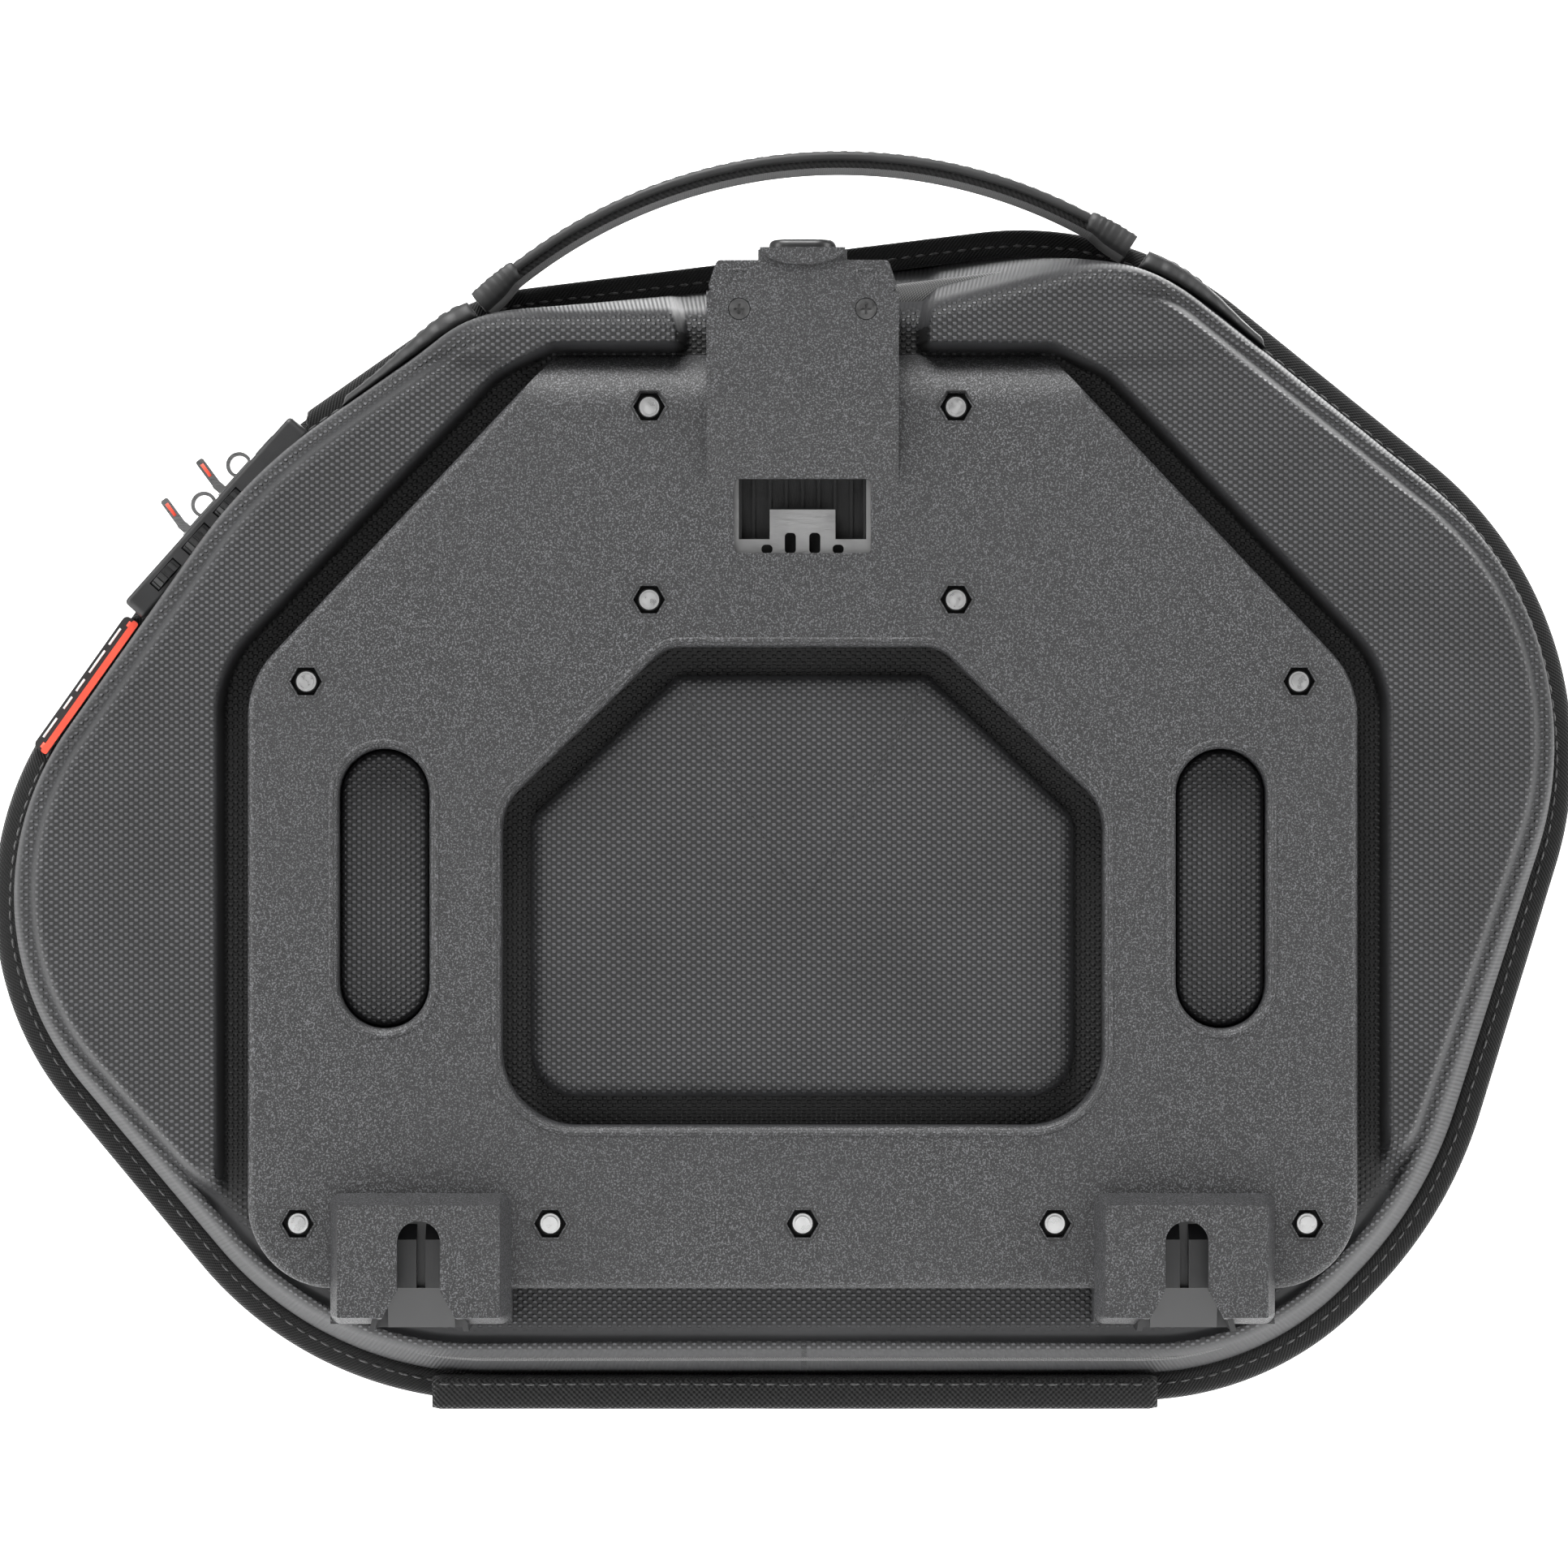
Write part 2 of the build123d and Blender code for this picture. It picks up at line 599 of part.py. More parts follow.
# ================================================================ screws, nuts and washers
with BuildPart() as plate_screws:
    head_top = BACK_FLOOR - WALL - STIFFENER_T - WASHER_T
    extrude(screw_sketch(side_plane(head_top), SCREW_R), amount=SCREW_END - head_top)
    extrude(screw_sketch(side_plane(head_top), SCREW_HEAD_R), amount=-SCREW_HEAD_H)
    with BuildSketch(side_plane(head_top - SCREW_HEAD_H)) as sockets:
        with Locations(*[(x + PLATE_X, z) for x, z in SCREW_POINTS]):
            RegularPolygon(1.25, 6, major_radius=False)
    extrude(amount=1.4, mode=Mode.SUBTRACT)
export(plate_screws.part, "plate_screws")

with BuildPart() as plate_nuts:
    with BuildSketch(side_plane(NUT_SEAT)) as hexagons:
        with Locations(*[(x + PLATE_X, z) for x, z in SCREW_POINTS]):
            RegularPolygon(NUT_FLATS / 2, 6, major_radius=False)
    extrude(amount=NUT_HEX_H)
    collar_low = NUT_SEAT + NUT_HEX_H
    extrude(screw_sketch(side_plane(collar_low), NUT_COLLAR_R), amount=NUT_TOP - collar_low)
    extrude(screw_sketch(side_plane(NUT_SEAT), NUT_BORE_R), amount=THROUGH, mode=Mode.SUBTRACT)
export(plate_nuts.part, "plate_nuts")

with BuildPart() as screw_washers:
    seat = side_plane(BACK_FLOOR - WALL - STIFFENER_T - WASHER_T)
    extrude(screw_sketch(seat, WASHER_R), amount=WASHER_T)
    extrude(screw_sketch(seat, SCREW_HOLE_R), amount=WASHER_T, mode=Mode.SUBTRACT)
export(screw_washers.part, "screw_washers")

# ================================================================ hook guides
for name, side in (("hook_guide_left", -1), ("hook_guide_right", 1)):
    x = boss_centre(side)
    with BuildPart() as guide:
        shoe = key_sketch(side_plane(GUIDE_BACK), side, HEAD_R, GUIDE_WALL)
        extrude(shoe, amount=BOSS_FACE - LIP_T - GUIDE_BACK)
        extrude(key_sketch(side_plane(GUIDE_FLOOR), side, HEAD_R), amount=THROUGH, mode=Mode.SUBTRACT)
        # a ramp rises from the mouth to the seat, with a groove along its middle
        with BuildSketch(Plane.YZ.offset(x - HEAD_R)) as ramp:
            with BuildLine():
                Polyline(
                    (-GUIDE_FLOOR, BOSS_BOTTOM - 1.3),
                    (-GUIDE_FLOOR - RAMP_H, KEY_FLARE_Z),
                    (-GUIDE_FLOOR - RAMP_H, KEY_Z),
                    (-GUIDE_FLOOR, KEY_Z + RAMP_H),
                    close=True,
                )
            make_face()
        extrude(amount=2 * HEAD_R)
        box_between(
            (x - GROOVE_HALF, -GUIDE_FLOOR - 5, KEY_FLARE_Z),
            (x + GROOVE_HALF, -GUIDE_FLOOR, KEY_Z + 5),
            Mode.SUBTRACT,
        )
    export(guide.part, name)

# ================================================================ latch
with BuildPart() as latch_housing:
    tray_half = CHANNEL_HALF - 0.1
    box_between(
        (PLATE_X - tray_half, -HOUSING_FACE, CHANNEL_FLOOR + 0.1),
        (PLATE_X + tray_half, -BACK_FLOOR, TOWER_TOP - 0.2),
    )
    # catch cavity behind the window, with upright guide ribs at its back
    box_between(
        (PLATE_X - OPENING_HALF + 0.8, -HOUSING_FACE - 1, BAND_TOP - 6),
        (PLATE_X + OPENING_HALF - 0.8, -BACK_FLOOR - 1.4, OPENING_TOP),
        Mode.SUBTRACT,
    )
    for step in range(-3, 4):
        rib_x = PLATE_X + step * 4.4
        box_between(
            (rib_x - 0.4, -BACK_FLOOR - 2.6, BAND_TOP - 6),
            (rib_x + 0.4, -BACK_FLOOR - 1, OPENING_TOP),
        )
    with BuildSketch(side_plane(BACK_FLOOR)) as bores:
        with Locations((PLATE_X - CAP_SCREW_X, CAP_SCREW_Z), (PLATE_X + CAP_SCREW_X, CAP_SCREW_Z)):
            Circle(1.5)
    extrude(amount=10, mode=Mode.SUBTRACT)
    # seats for the two springs
    for side in (-1, 1):
        seat_x = PLATE_X + side * SPRING_X
        box_between(
            (seat_x - 2.2, -HOUSING_FACE - 1, CHANNEL_FLOOR),
            (seat_x + 2.2, -HOUSING_FACE + 1.2, STEEL_BOTTOM),
            Mode.SUBTRACT,
        )
export(latch_housing.part, "latch_housing")

with BuildPart() as latch_plate:
    back, front = -STEEL_BACK, -STEEL_BACK - STEEL_T
    box_between((PLATE_X - STEEL_HALF, front, STEEL_BOTTOM), (PLATE_X + STEEL_HALF, back, OPENING_TOP + 9))
    box_between(
        (PLATE_X - OPENING_HALF, front, BAND_TOP),
        (PLATE_X + OPENING_HALF, back, OPENING_TOP),
        Mode.SUBTRACT,
    )
    box_between((PLATE_X - NECK_HALF, front, OPENING_TOP + 9), (PLATE_X + NECK_HALF, back, NECK_TOP))
    # catch tongue, bent back at its top
    box_between((PLATE_X - TONGUE_HALF, front, BAND_TOP), (PLATE_X + TONGUE_HALF, back, TONGUE_TOP))
    box_between(
        (PLATE_X - TONGUE_HALF + 0.8, back, TONGUE_TOP - STEEL_T),
        (PLATE_X + TONGUE_HALF - 0.8, back + 3, TONGUE_TOP),
    )
    for notch_x, notch_h in ((-9.6, 2.4), (-3.3, 5.6), (3.3, 5.6), (9.6, 2.4)):
        with BuildSketch(side_plane(STEEL_BACK - 1)) as notch:
            with Locations((PLATE_X + notch_x, LATCH_Z - LATCH_H / 2 + notch_h / 2)):
                RectangleRounded(3.0, notch_h, 1.1)
        extrude(amount=4, mode=Mode.SUBTRACT)
export(latch_plate.part, "latch_plate")

with BuildPart() as latch_springs:
    for side in (-1, 1):
        start = (PLATE_X + side * SPRING_X, -STEEL_BACK - STEEL_T / 2, CHANNEL_FLOOR + 0.5)
        with BuildLine() as coil:
            Helix(SPRING_PITCH, STEEL_BOTTOM - CHANNEL_FLOOR - 0.9, SPRING_R, center=start)
        with BuildSketch(Plane(origin=coil.line @ 0, z_dir=coil.line % 0)) as wire:
            Circle(SPRING_WIRE_R)
        sweep(wire.sketch, path=coil.line, is_frenet=True)
export(latch_springs.part, "latch_springs")

with BuildPart() as latch_cap:
    with BuildSketch(side_plane(BACK_FLOOR)) as cap_front:
        with BuildLine():
            Polyline(
                (PLATE_X - TOWER_HALF, TOWER_TOP),
                (PLATE_X + TOWER_HALF, TOWER_TOP),
                (PLATE_X + CAP_TOP_HALF, CAP_TOP),
                (PLATE_X - CAP_TOP_HALF, CAP_TOP),
                close=True,
            )
        make_face()
    extrude(amount=TOWER_FACE - BACK_FLOOR)
    fillet(latch_cap.edges().filter_by(Axis.Y), 1.5)
    with BuildSketch(Plane.XY.offset(CAP_TOP - 2)) as collar:
        with Locations((PLATE_X, -BUTTON_DEPTH)):
            SlotOverall(COLLAR_W, COLLAR_W - BUTTON_W + BUTTON_D)
    extrude(amount=COLLAR_TOP - CAP_TOP + 2)
    with BuildSketch(Plane.XY.offset(BUTTON_TOP - RELEASE_TRAVEL - 6.5)) as well:
        with Locations((PLATE_X, -BUTTON_DEPTH)):
            SlotOverall(BUTTON_W + 0.8, BUTTON_D + 0.8)
    extrude(amount=THROUGH, mode=Mode.SUBTRACT)
    box_between((PLATE_X - 6.6, -72.2, TOWER_TOP - 1), (PLATE_X + 6.6, -66.8, CAP_TOP), Mode.SUBTRACT)
    # grip lobe that hangs over the cap's front under the button
    with BuildSketch(side_plane(TOWER_FACE - 1.5)) as lobe:
        with Locations((PLATE_X, COLLAR_TOP)):
            Ellipse(11.5, 4.6)
        with Locations((PLATE_X, COLLAR_TOP + 5)):
            Rectangle(30, 10, mode=Mode.SUBTRACT)
    extrude(amount=2.6)
export(latch_cap.part, "latch_cap")

with BuildPart() as release_button:
    with BuildSketch(Plane.XY.offset(BUTTON_TOP - 6)) as pad:
        with Locations((PLATE_X, -BUTTON_DEPTH)):
            SlotOverall(BUTTON_W, BUTTON_D)
    extrude(amount=6)
    fillet(release_button.faces().sort_by(Axis.Z)[-1].edges(), 1.6)
    box_between((PLATE_X - 6, -71.6, NECK_TOP), (PLATE_X + 6, -HOUSING_FACE - 0.4, BUTTON_TOP - 6))
export(release_button.part, "release_button")

with BuildPart() as cap_screws:
    for side in (-1, 1):
        with BuildSketch(side_plane(BACK_FLOOR + 0.4)) as shank:
            with Locations((PLATE_X + side * CAP_SCREW_X, CAP_SCREW_Z)):
                Circle(1.48)
        extrude(amount=TOWER_FACE - BACK_FLOOR - 1)
        with BuildSketch(side_plane(TOWER_FACE - 1.6)) as head:
            with Locations((PLATE_X + side * CAP_SCREW_X, CAP_SCREW_Z)):
                Circle(2.8)
        extrude(amount=1.5)
        with BuildSketch(side_plane(TOWER_FACE - 1.0)) as cross:
            with Locations((PLATE_X + side * CAP_SCREW_X, CAP_SCREW_Z)):
                Rectangle(2.8, 0.6)
                Rectangle(0.6, 2.8)
        extrude(amount=2, mode=Mode.SUBTRACT)
export(cap_screws.part, "cap_screws")

# ================================================================ carry handle


with BuildPart() as handle_grip:
    strap = handle_strap(GRIP_LEFT_X, GRIP_RIGHT_X, HANDLE_R, HANDLE_R - GRIP_T)
    extrude(strap, amount=HANDLE_W / 2, both=True)
export(handle_grip.part, "handle_grip")

with BuildPart() as handle_webbing:
    outer = HANDLE_R - GRIP_T
    strap = handle_strap(GRIP_LEFT_X, GRIP_RIGHT_X, outer, outer - WEBBING_T)
    extrude(strap, amount=HANDLE_W / 2 - 1, both=True)
export(handle_webbing.part, "handle_webbing")

for name, left, right in (
    ("handle_tail_left", HANDLE_LEFT[0], GRIP_LEFT_X),
    ("handle_tail_right", GRIP_RIGHT_X, HANDLE_RIGHT[0]),
):
    with BuildPart() as tail:
        strap = handle_strap(left, right, HANDLE_R, HANDLE_R - GRIP_T - WEBBING_T)
        extrude(strap, amount=HANDLE_W / 2 - 0.5, both=True)
    export(tail.part, name)

# rubber sleeves that hold the strap's ends against the shell's upper wall
for name, (low, high) in (("handle_anchor_left", ANCHOR_LEFT), ("handle_anchor_right", ANCHOR_RIGHT)):
    with BuildPart() as anchor:
        sleeve = bag_sketch(side_plane(HANDLE_DEPTH - HANDLE_W / 2, RIM_LIFT), RIM_INSET - ANCHOR_T)
        extrude(sleeve, amount=HANDLE_W)
        extrude(
            bag_sketch(side_plane(HANDLE_DEPTH - HANDLE_W / 2 - 1, RIM_LIFT), RIM_INSET + 0.3),
            amount=HANDLE_W + 2,
            mode=Mode.SUBTRACT,
        )
        box_between((low, -60, 200), (high, 0, 350), Mode.INTERSECT)
    export(anchor.part, name)

# ================================================================ combination lock
with BuildPart() as dial_pins:
    for index in range(3):
        with BuildSketch(dial_plane(index, -LOCK_T / 2 + 0.8)):
            Circle(1.05)
        extrude(amount=LOCK_T - 1.6)
export(dial_pins.part, "dial_pins")

with BuildPart() as lock_body:
    with BuildSketch(lock_plane(out=-LOCK_T / 2, depth=(LOCK_NEAR + LOCK_FAR) / 2)):
        RectangleRounded(LOCK_L, LOCK_FAR - LOCK_NEAR, 2.0)
    extrude(amount=LOCK_T)
    fillet(lock_body.edges().filter_by(Axis.Y), 1.2)
    for index in range(3):
        with BuildSketch(dial_plane(index, -DIAL_T / 2 - 0.3)):
            Circle(DIAL_R + 0.4)
        extrude(amount=DIAL_T + 0.6, mode=Mode.SUBTRACT)
    add(dial_pins.part, mode=Mode.SUBTRACT)
    # slots in the outer face that take the two pull tabs and the release slide
    for along in SLIDER_ALONG:
        with BuildSketch(lock_plane(along, LOCK_T / 2 - 2.4, LOCK_NEAR + 3.2)):
            Rectangle(6.4, 5.2)
        extrude(amount=4, mode=Mode.SUBTRACT)
    with BuildSketch(lock_plane(RELEASE_ALONG, LOCK_T / 2 - 2.0, LOCK_NEAR + 10)):
        Rectangle(RELEASE_L + RELEASE_SLIDE + 1.0, RELEASE_W + 0.6)
    extrude(amount=4, mode=Mode.SUBTRACT)
export(lock_body.part, "lock_body")

for index in range(3):
    with BuildPart() as dial:
        with BuildSketch(dial_plane(index, -DIAL_T / 2)):
            Circle(DIAL_R)
            with PolarLocations(DIAL_R, DIAL_TEETH):
                Circle(0.35, mode=Mode.SUBTRACT)
            Circle(1.1, mode=Mode.SUBTRACT)
        extrude(amount=DIAL_T)
    export(dial.part, f"dial_{index + 1}")

with BuildPart() as lock_release:
    with BuildSketch(lock_plane(RELEASE_ALONG - RELEASE_SLIDE / 2, LOCK_T / 2 - 1.8, LOCK_NEAR + 10)):
        RectangleRounded(RELEASE_L, RELEASE_W, 0.8)
    extrude(amount=2.6)
export(lock_release.part, "lock_release")

# ================================================================ zip sliders and their pull tabs
for index, along in enumerate(SLIDER_ALONG):
    with BuildPart() as slider:
        with BuildSketch(lock_plane(along, SLIDER_BASE, -0.6)):
            RectangleRounded(SLIDER_L, 5.6, 1.2)
        extrude(amount=1.3)
        # tall bridge behind, low ears with the tab's pivot in front
        with BuildSketch(zip_plane(along + ARCH_ALONG, SLIDER_BASE + 1.2)):
            with BuildLine():
                ThreePointArc((-ARCH_HALF, 0), (0, ARCH_H), (ARCH_HALF, 0))
                Line((ARCH_HALF, 0), (ARCH_HALF - ARCH_T, 0))
                ThreePointArc((ARCH_HALF - ARCH_T, 0), (0, ARCH_H - ARCH_T), (ARCH_T - ARCH_HALF, 0))
                Line((ARCH_T - ARCH_HALF, 0), (-ARCH_HALF, 0))
            make_face()
        extrude(amount=1.1, both=True)
        for ear in (-2.1, 2.1):
            with BuildSketch(zip_plane(along + PIVOT_ALONG, PIVOT_OUT, ear - 0.6)):
                Circle(1.3)
                with Locations((0, -1.2)):
                    Rectangle(2.6, 2.4)
            extrude(amount=0.4, both=True)
        with BuildSketch(zip_plane(along + PIVOT_ALONG, PIVOT_OUT)):
            Circle(0.5)
        extrude(amount=2.1, both=True)
    export(slider.part, f"zip_slider_{index + 1}")

    with BuildPart() as tab:
        with BuildSketch(zip_plane(along + PIVOT_ALONG, PIVOT_OUT, lean=TAB_LEAN)):
            with Locations((0, TAB_L / 2 - 1.2)):
                RectangleRounded(TAB_T, TAB_L, 0.7)
            Circle(0.56, mode=Mode.SUBTRACT)
        extrude(amount=1.5, both=True)
    export(tab.part, f"pull_tab_{index + 1}")

# ================================================================ badge on the band
with BuildPart() as badge_base:
    badge_strip(0.7, 4.6, BAND_EDGE, BAND_EDGE + BADGE_BASE_T)
export(badge_base.part, "badge_base")

with BuildPart() as badge_rib:
    badge_strip(-0.6, 1.9, BAND_EDGE + BADGE_BASE_T, BAND_EDGE + BADGE_BASE_T + BADGE_RIB_T)
export(badge_rib.part, "badge_rib")

# ================================================================ inside: stiffener, strap and pocket
with BuildPart() as stiffener:
    floor = side_plane(BACK_FLOOR - WALL - STIFFENER_T)
    extrude(plate_sketch(floor, PLATE, PLATE_RADII, -4), amount=STIFFENER_T)
    extrude(plate_sketch(floor, WINDOW, WINDOW_RADII), amount=STIFFENER_T, mode=Mode.SUBTRACT)
    extrude(screw_sketch(floor, SCREW_HOLE_R), amount=STIFFENER_T, mode=Mode.SUBTRACT)
export(stiffener.part, "stiffener")

for name, low, high in (
    ("luggage_strap_left", STRAP_LEFT, BUCKLE_X - BUCKLE_HALF),
    ("luggage_strap_right", BUCKLE_X + BUCKLE_HALF, STRAP_RIGHT),
):
    with BuildPart() as strap:
        box_between(
            (low, -STRAP_FACE, STRAP_Z - STRAP_W / 2),
            (high, STRAP_T - STRAP_FACE, STRAP_Z + STRAP_W / 2),
        )
    export(strap.part, name)

with BuildPart() as buckle_socket:
    box_between(
        (BUCKLE_X - BUCKLE_HALF - 1, -STRAP_FACE, STRAP_Z - BUCKLE_W / 2),
        (BUCKLE_X + 10, BUCKLE_T - STRAP_FACE, STRAP_Z + BUCKLE_W / 2),
    )
    fillet(buckle_socket.edges().filter_by(Axis.Y), 5)
    box_between(
        (BUCKLE_X - 12, 2 - STRAP_FACE, STRAP_Z - 13),
        (BUCKLE_X + 11, 6.4 - STRAP_FACE, STRAP_Z + 13),
        Mode.SUBTRACT,
    )
    # the strap is sewn into a notch at the socket's back
    box_between(
        (BUCKLE_X - BUCKLE_HALF - 2, -STRAP_FACE - 1, STRAP_Z - 13),
        (BUCKLE_X - BUCKLE_HALF + 0.1, 3 - STRAP_FACE, STRAP_Z + 13),
        Mode.SUBTRACT,
    )
export(buckle_socket.part, "buckle_socket")

with BuildPart() as buckle_tongue:
    box_between(
        (BUCKLE_X + 10.4, -STRAP_FACE, STRAP_Z - BUCKLE_W / 2 + 1),
        (BUCKLE_X + BUCKLE_HALF - 0.2, BUCKLE_T - STRAP_FACE, STRAP_Z + BUCKLE_W / 2 - 1),
    )
    fillet(buckle_tongue.edges().filter_by(Axis.Y), 3)
    for across in (-9.0, 0.0, 9.0):
        box_between(
            (BUCKLE_X - 10, 2.5 - STRAP_FACE, STRAP_Z + across - 1.8),
            (BUCKLE_X + 11, 6 - STRAP_FACE, STRAP_Z + across + 1.8),
        )
export(buckle_tongue.part, "buckle_tongue")

with BuildPart() as mesh_pocket:
    box_between((POCKET_LEFT, POCKET_Y - 2.6, POCKET_LOW), (POCKET_RIGHT, POCKET_Y - 1.8, POCKET_HIGH))
export(mesh_pocket.part, "mesh_pocket")

with BuildPart() as pocket_binding:
    box_between(
        (POCKET_LEFT - BINDING_W, POCKET_Y - BINDING_T, POCKET_LOW - BINDING_W),
        (POCKET_RIGHT + BINDING_W, POCKET_Y, POCKET_HIGH + BINDING_W + 2),
    )
    fillet(pocket_binding.edges().filter_by(Axis.Y), 2 * BINDING_W)
    box_between(
        (POCKET_LEFT, POCKET_Y - BINDING_T - 1, POCKET_LOW),
        (POCKET_RIGHT, POCKET_Y + 1, POCKET_HIGH),
        Mode.SUBTRACT,
    )
export(pocket_binding.part, "pocket_binding")

with BuildPart() as pocket_zip:
    teeth = POCKET_Y - BINDING_T
    box_between(
        (POCKET_LEFT + 8, teeth - 1.2, POCKET_HIGH + 1),
        (POCKET_RIGHT - 8, teeth, POCKET_HIGH + 6),
    )
    box_between(
        (POCKET_RIGHT - 22, teeth - 3.2, POCKET_HIGH),
        (POCKET_RIGHT - 12, teeth - 1.2, POCKET_HIGH + 7),
    )
export(pocket_zip.part, "pocket_zip")
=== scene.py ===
"""Looks of a motorcycle side bag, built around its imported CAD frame.

Geometry is worked out in millimetres as (x, depth, z), where depth is measured from the zip plane
towards the carrier plate, so depth d lies at y = -d. Meshes are written in metres, +Z up.
"""

from math import acos, atan2, cos, hypot, pi, radians, sin, tan

import bmesh
import bpy
import numpy as np
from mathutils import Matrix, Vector


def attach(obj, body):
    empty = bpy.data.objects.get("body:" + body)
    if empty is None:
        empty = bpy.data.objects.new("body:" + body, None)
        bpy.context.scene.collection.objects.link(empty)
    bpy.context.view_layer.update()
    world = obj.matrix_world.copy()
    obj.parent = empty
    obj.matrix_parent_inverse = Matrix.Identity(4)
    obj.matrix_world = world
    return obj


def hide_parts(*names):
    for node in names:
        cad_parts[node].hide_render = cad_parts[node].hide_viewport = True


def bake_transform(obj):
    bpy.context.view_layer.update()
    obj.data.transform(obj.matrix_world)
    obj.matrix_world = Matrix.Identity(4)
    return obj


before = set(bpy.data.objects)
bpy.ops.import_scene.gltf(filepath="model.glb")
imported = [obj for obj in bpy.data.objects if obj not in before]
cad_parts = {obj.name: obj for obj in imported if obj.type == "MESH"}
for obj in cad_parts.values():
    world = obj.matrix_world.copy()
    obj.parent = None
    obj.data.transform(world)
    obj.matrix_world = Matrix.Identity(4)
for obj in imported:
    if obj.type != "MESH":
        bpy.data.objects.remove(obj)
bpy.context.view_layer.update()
rng = np.random.default_rng(5)

MM = 0.001
CENTRE = np.array([5.0, 150.0])  # every ring of a shell runs round this point (X, Z)

# ---------------------------------------------------------------- outlines, corner points (X, Z)
OUTLINE = [
    (-130.6, 1.2), (-242.4, 135.7), (-153.2, 261.5), (-86.0, 308.5),
    (94.1, 330.7), (235.2, 217.1), (185.0, 53.2), (135.3, 1.2),
]
OUTLINE_RADII = [105, 88, 150, 60, 95, 104, 122, 88]
RIM_INSET = 6.2
RIM_DEPTH = 3.4

# where the back shell's side wall turns over into its face
LIP = [
    (-124.2, 18.5), (-228.9, 138.2), (-144.5, 257.2), (-84.0, 299.6), (37.7, 301.2),
    (96.8, 316.4), (224.3, 213.7), (170.1, 60.8), (129.7, 18.5),
]
LIP_RADII = [88, 76, 140, 36, 16, 42, 86, 104, 70]

PLATE_X = 5.0
PLATE = [(-65.7, 289.0), (65.7, 289.0), (149.4, 200.5), (149.4, 36.7), (-149.4, 36.7), (-149.4, 200.5)]
PLATE_RADII = [8, 8, 25, 23, 23, 25]
# the recess round the plate: tight along its top edge, a trench along its flanks, open below
RECESS = [
    (-67.0, 289.6), (67.0, 289.6), (81.8, 282.2), (156.4, 203.3), (156.4, -30.0),
    (-156.4, -30.0), (-156.4, 203.3), (-81.8, 282.2),
]
RECESS_RADII = [4, 4, 12, 30, 5, 5, 30, 12]
WINDOW = [(-37.0, 209.4), (37.0, 209.4), (81.0, 166.5), (81.0, 80.4), (-81.0, 80.4), (-81.0, 166.5)]
WINDOW_RADII = [10, 10, 14, 20, 20, 14]
PILLOW_INSET = 7.5
NUT_POINTS = [
    (-36.3, 274.0), (46.3, 274.0), (-36.3, 222.1), (46.3, 222.1), (-128.6, 200.1), (138.6, 200.1),
    (-130.8, 54.2), (-62.9, 54.2), (5.0, 54.2), (72.9, 54.2), (140.8, 54.2),
]

SHELL_FLOOR = 62.0
WING_FACE = 74.2
PILLOW_FACE = 70.6
CHANNEL_HALF = 31.0
SLOT_X, SLOT_Z, SLOT_W, SLOT_L = 112.7, 144.3, 24.5, 75.5

COVER_FACE = 105.6
COVER_EDGE = 26.0


# ================================================================ outline helpers
def unit(vector):
    return vector / np.linalg.norm(vector)


def smooth(value, low, high):
    """0 up to low, 1 from high, and an even ease between."""
    t = np.clip((np.asarray(value, float) - low) / (high - low), 0, 1)
    return t * t * (3 - 2 * t)


def run_along(points):
    """How far along a line each of its points lies."""
    return np.r_[0, np.cumsum(np.linalg.norm(np.diff(points, axis=0), axis=1))]


def evenly(points, count):
    """A closed outline's points again, count of them, evenly spaced."""
    closed = np.vstack([points, points[:1]])
    length = run_along(closed)
    at = np.linspace(0, length[-1], count, endpoint=False)
    return np.column_stack([np.interp(at, length, closed[:, k]) for k in range(points.shape[1])])


def perimeter(points):
    return np.linalg.norm(points - np.roll(points, 1, 0), axis=1).sum()


def rounded(corners, radii, shift=0.0, count=1400):
    """A closed outline with rounded corners, as closely spaced points."""
    corners = [np.array([x + shift, z], float) for x, z in corners]
    points = []
    for i, (corner, radius) in enumerate(zip(corners, radii)):
        back = unit(corners[i - 1] - corner)
        ahead = unit(corners[(i + 1) % len(corners)] - corner)
        half = acos(back @ ahead) / 2
        centre = corner + unit(back + ahead) * radius / sin(half)
        start = corner + back * radius / tan(half) - centre
        end = corner + ahead * radius / tan(half) - centre
        turn = (pi - 2 * half) * np.sign(start[0] * end[1] - start[1] * end[0])
        first = atan2(start[1], start[0])
        for angle in first + np.linspace(0, turn, 3 + int(radius * abs(turn))):
            points.append(centre + radius * np.array([cos(angle), sin(angle)]))
    return evenly(np.array(points), count)


def inward(points):
    """The unit normals of a clockwise outline that point into it."""
    ahead = np.roll(points, -1, 0) - np.roll(points, 1, 0)
    return np.column_stack([ahead[:, 1], -ahead[:, 0]]) / np.linalg.norm(ahead, axis=1)[:, None]


def reach(points, angles):
    """How far a star-shaped outline lies from CENTRE at these angles."""
    from_centre = points - CENTRE
    own = np.arctan2(from_centre[:, 1], from_centre[:, 0])
    order = np.argsort(own)
    return np.interp(angles, own[order], np.linalg.norm(from_centre, axis=1)[order], period=2 * pi)


def signed_distance(points, outline):
    """Distance of each point from a closed outline, negative inside it."""
    start, end = outline, np.roll(outline, -1, 0)
    best = np.full(len(points), 1e9)
    inside = np.zeros(len(points), bool)
    for a, b in zip(start, end):
        edge, rel = b - a, points - a
        share = np.clip(rel @ edge / (edge @ edge), 0, 1)
        best = np.minimum(best, np.linalg.norm(rel - share[:, None] * edge, axis=1))
        crosses = (a[1] > points[:, 1]) != (b[1] > points[:, 1])
        with np.errstate(divide="ignore", invalid="ignore"):
            meets = a[0] + (points[:, 1] - a[1]) * edge[0] / edge[1]
        inside ^= crosses & (points[:, 0] < meets)
    return np.where(inside, -best, best)


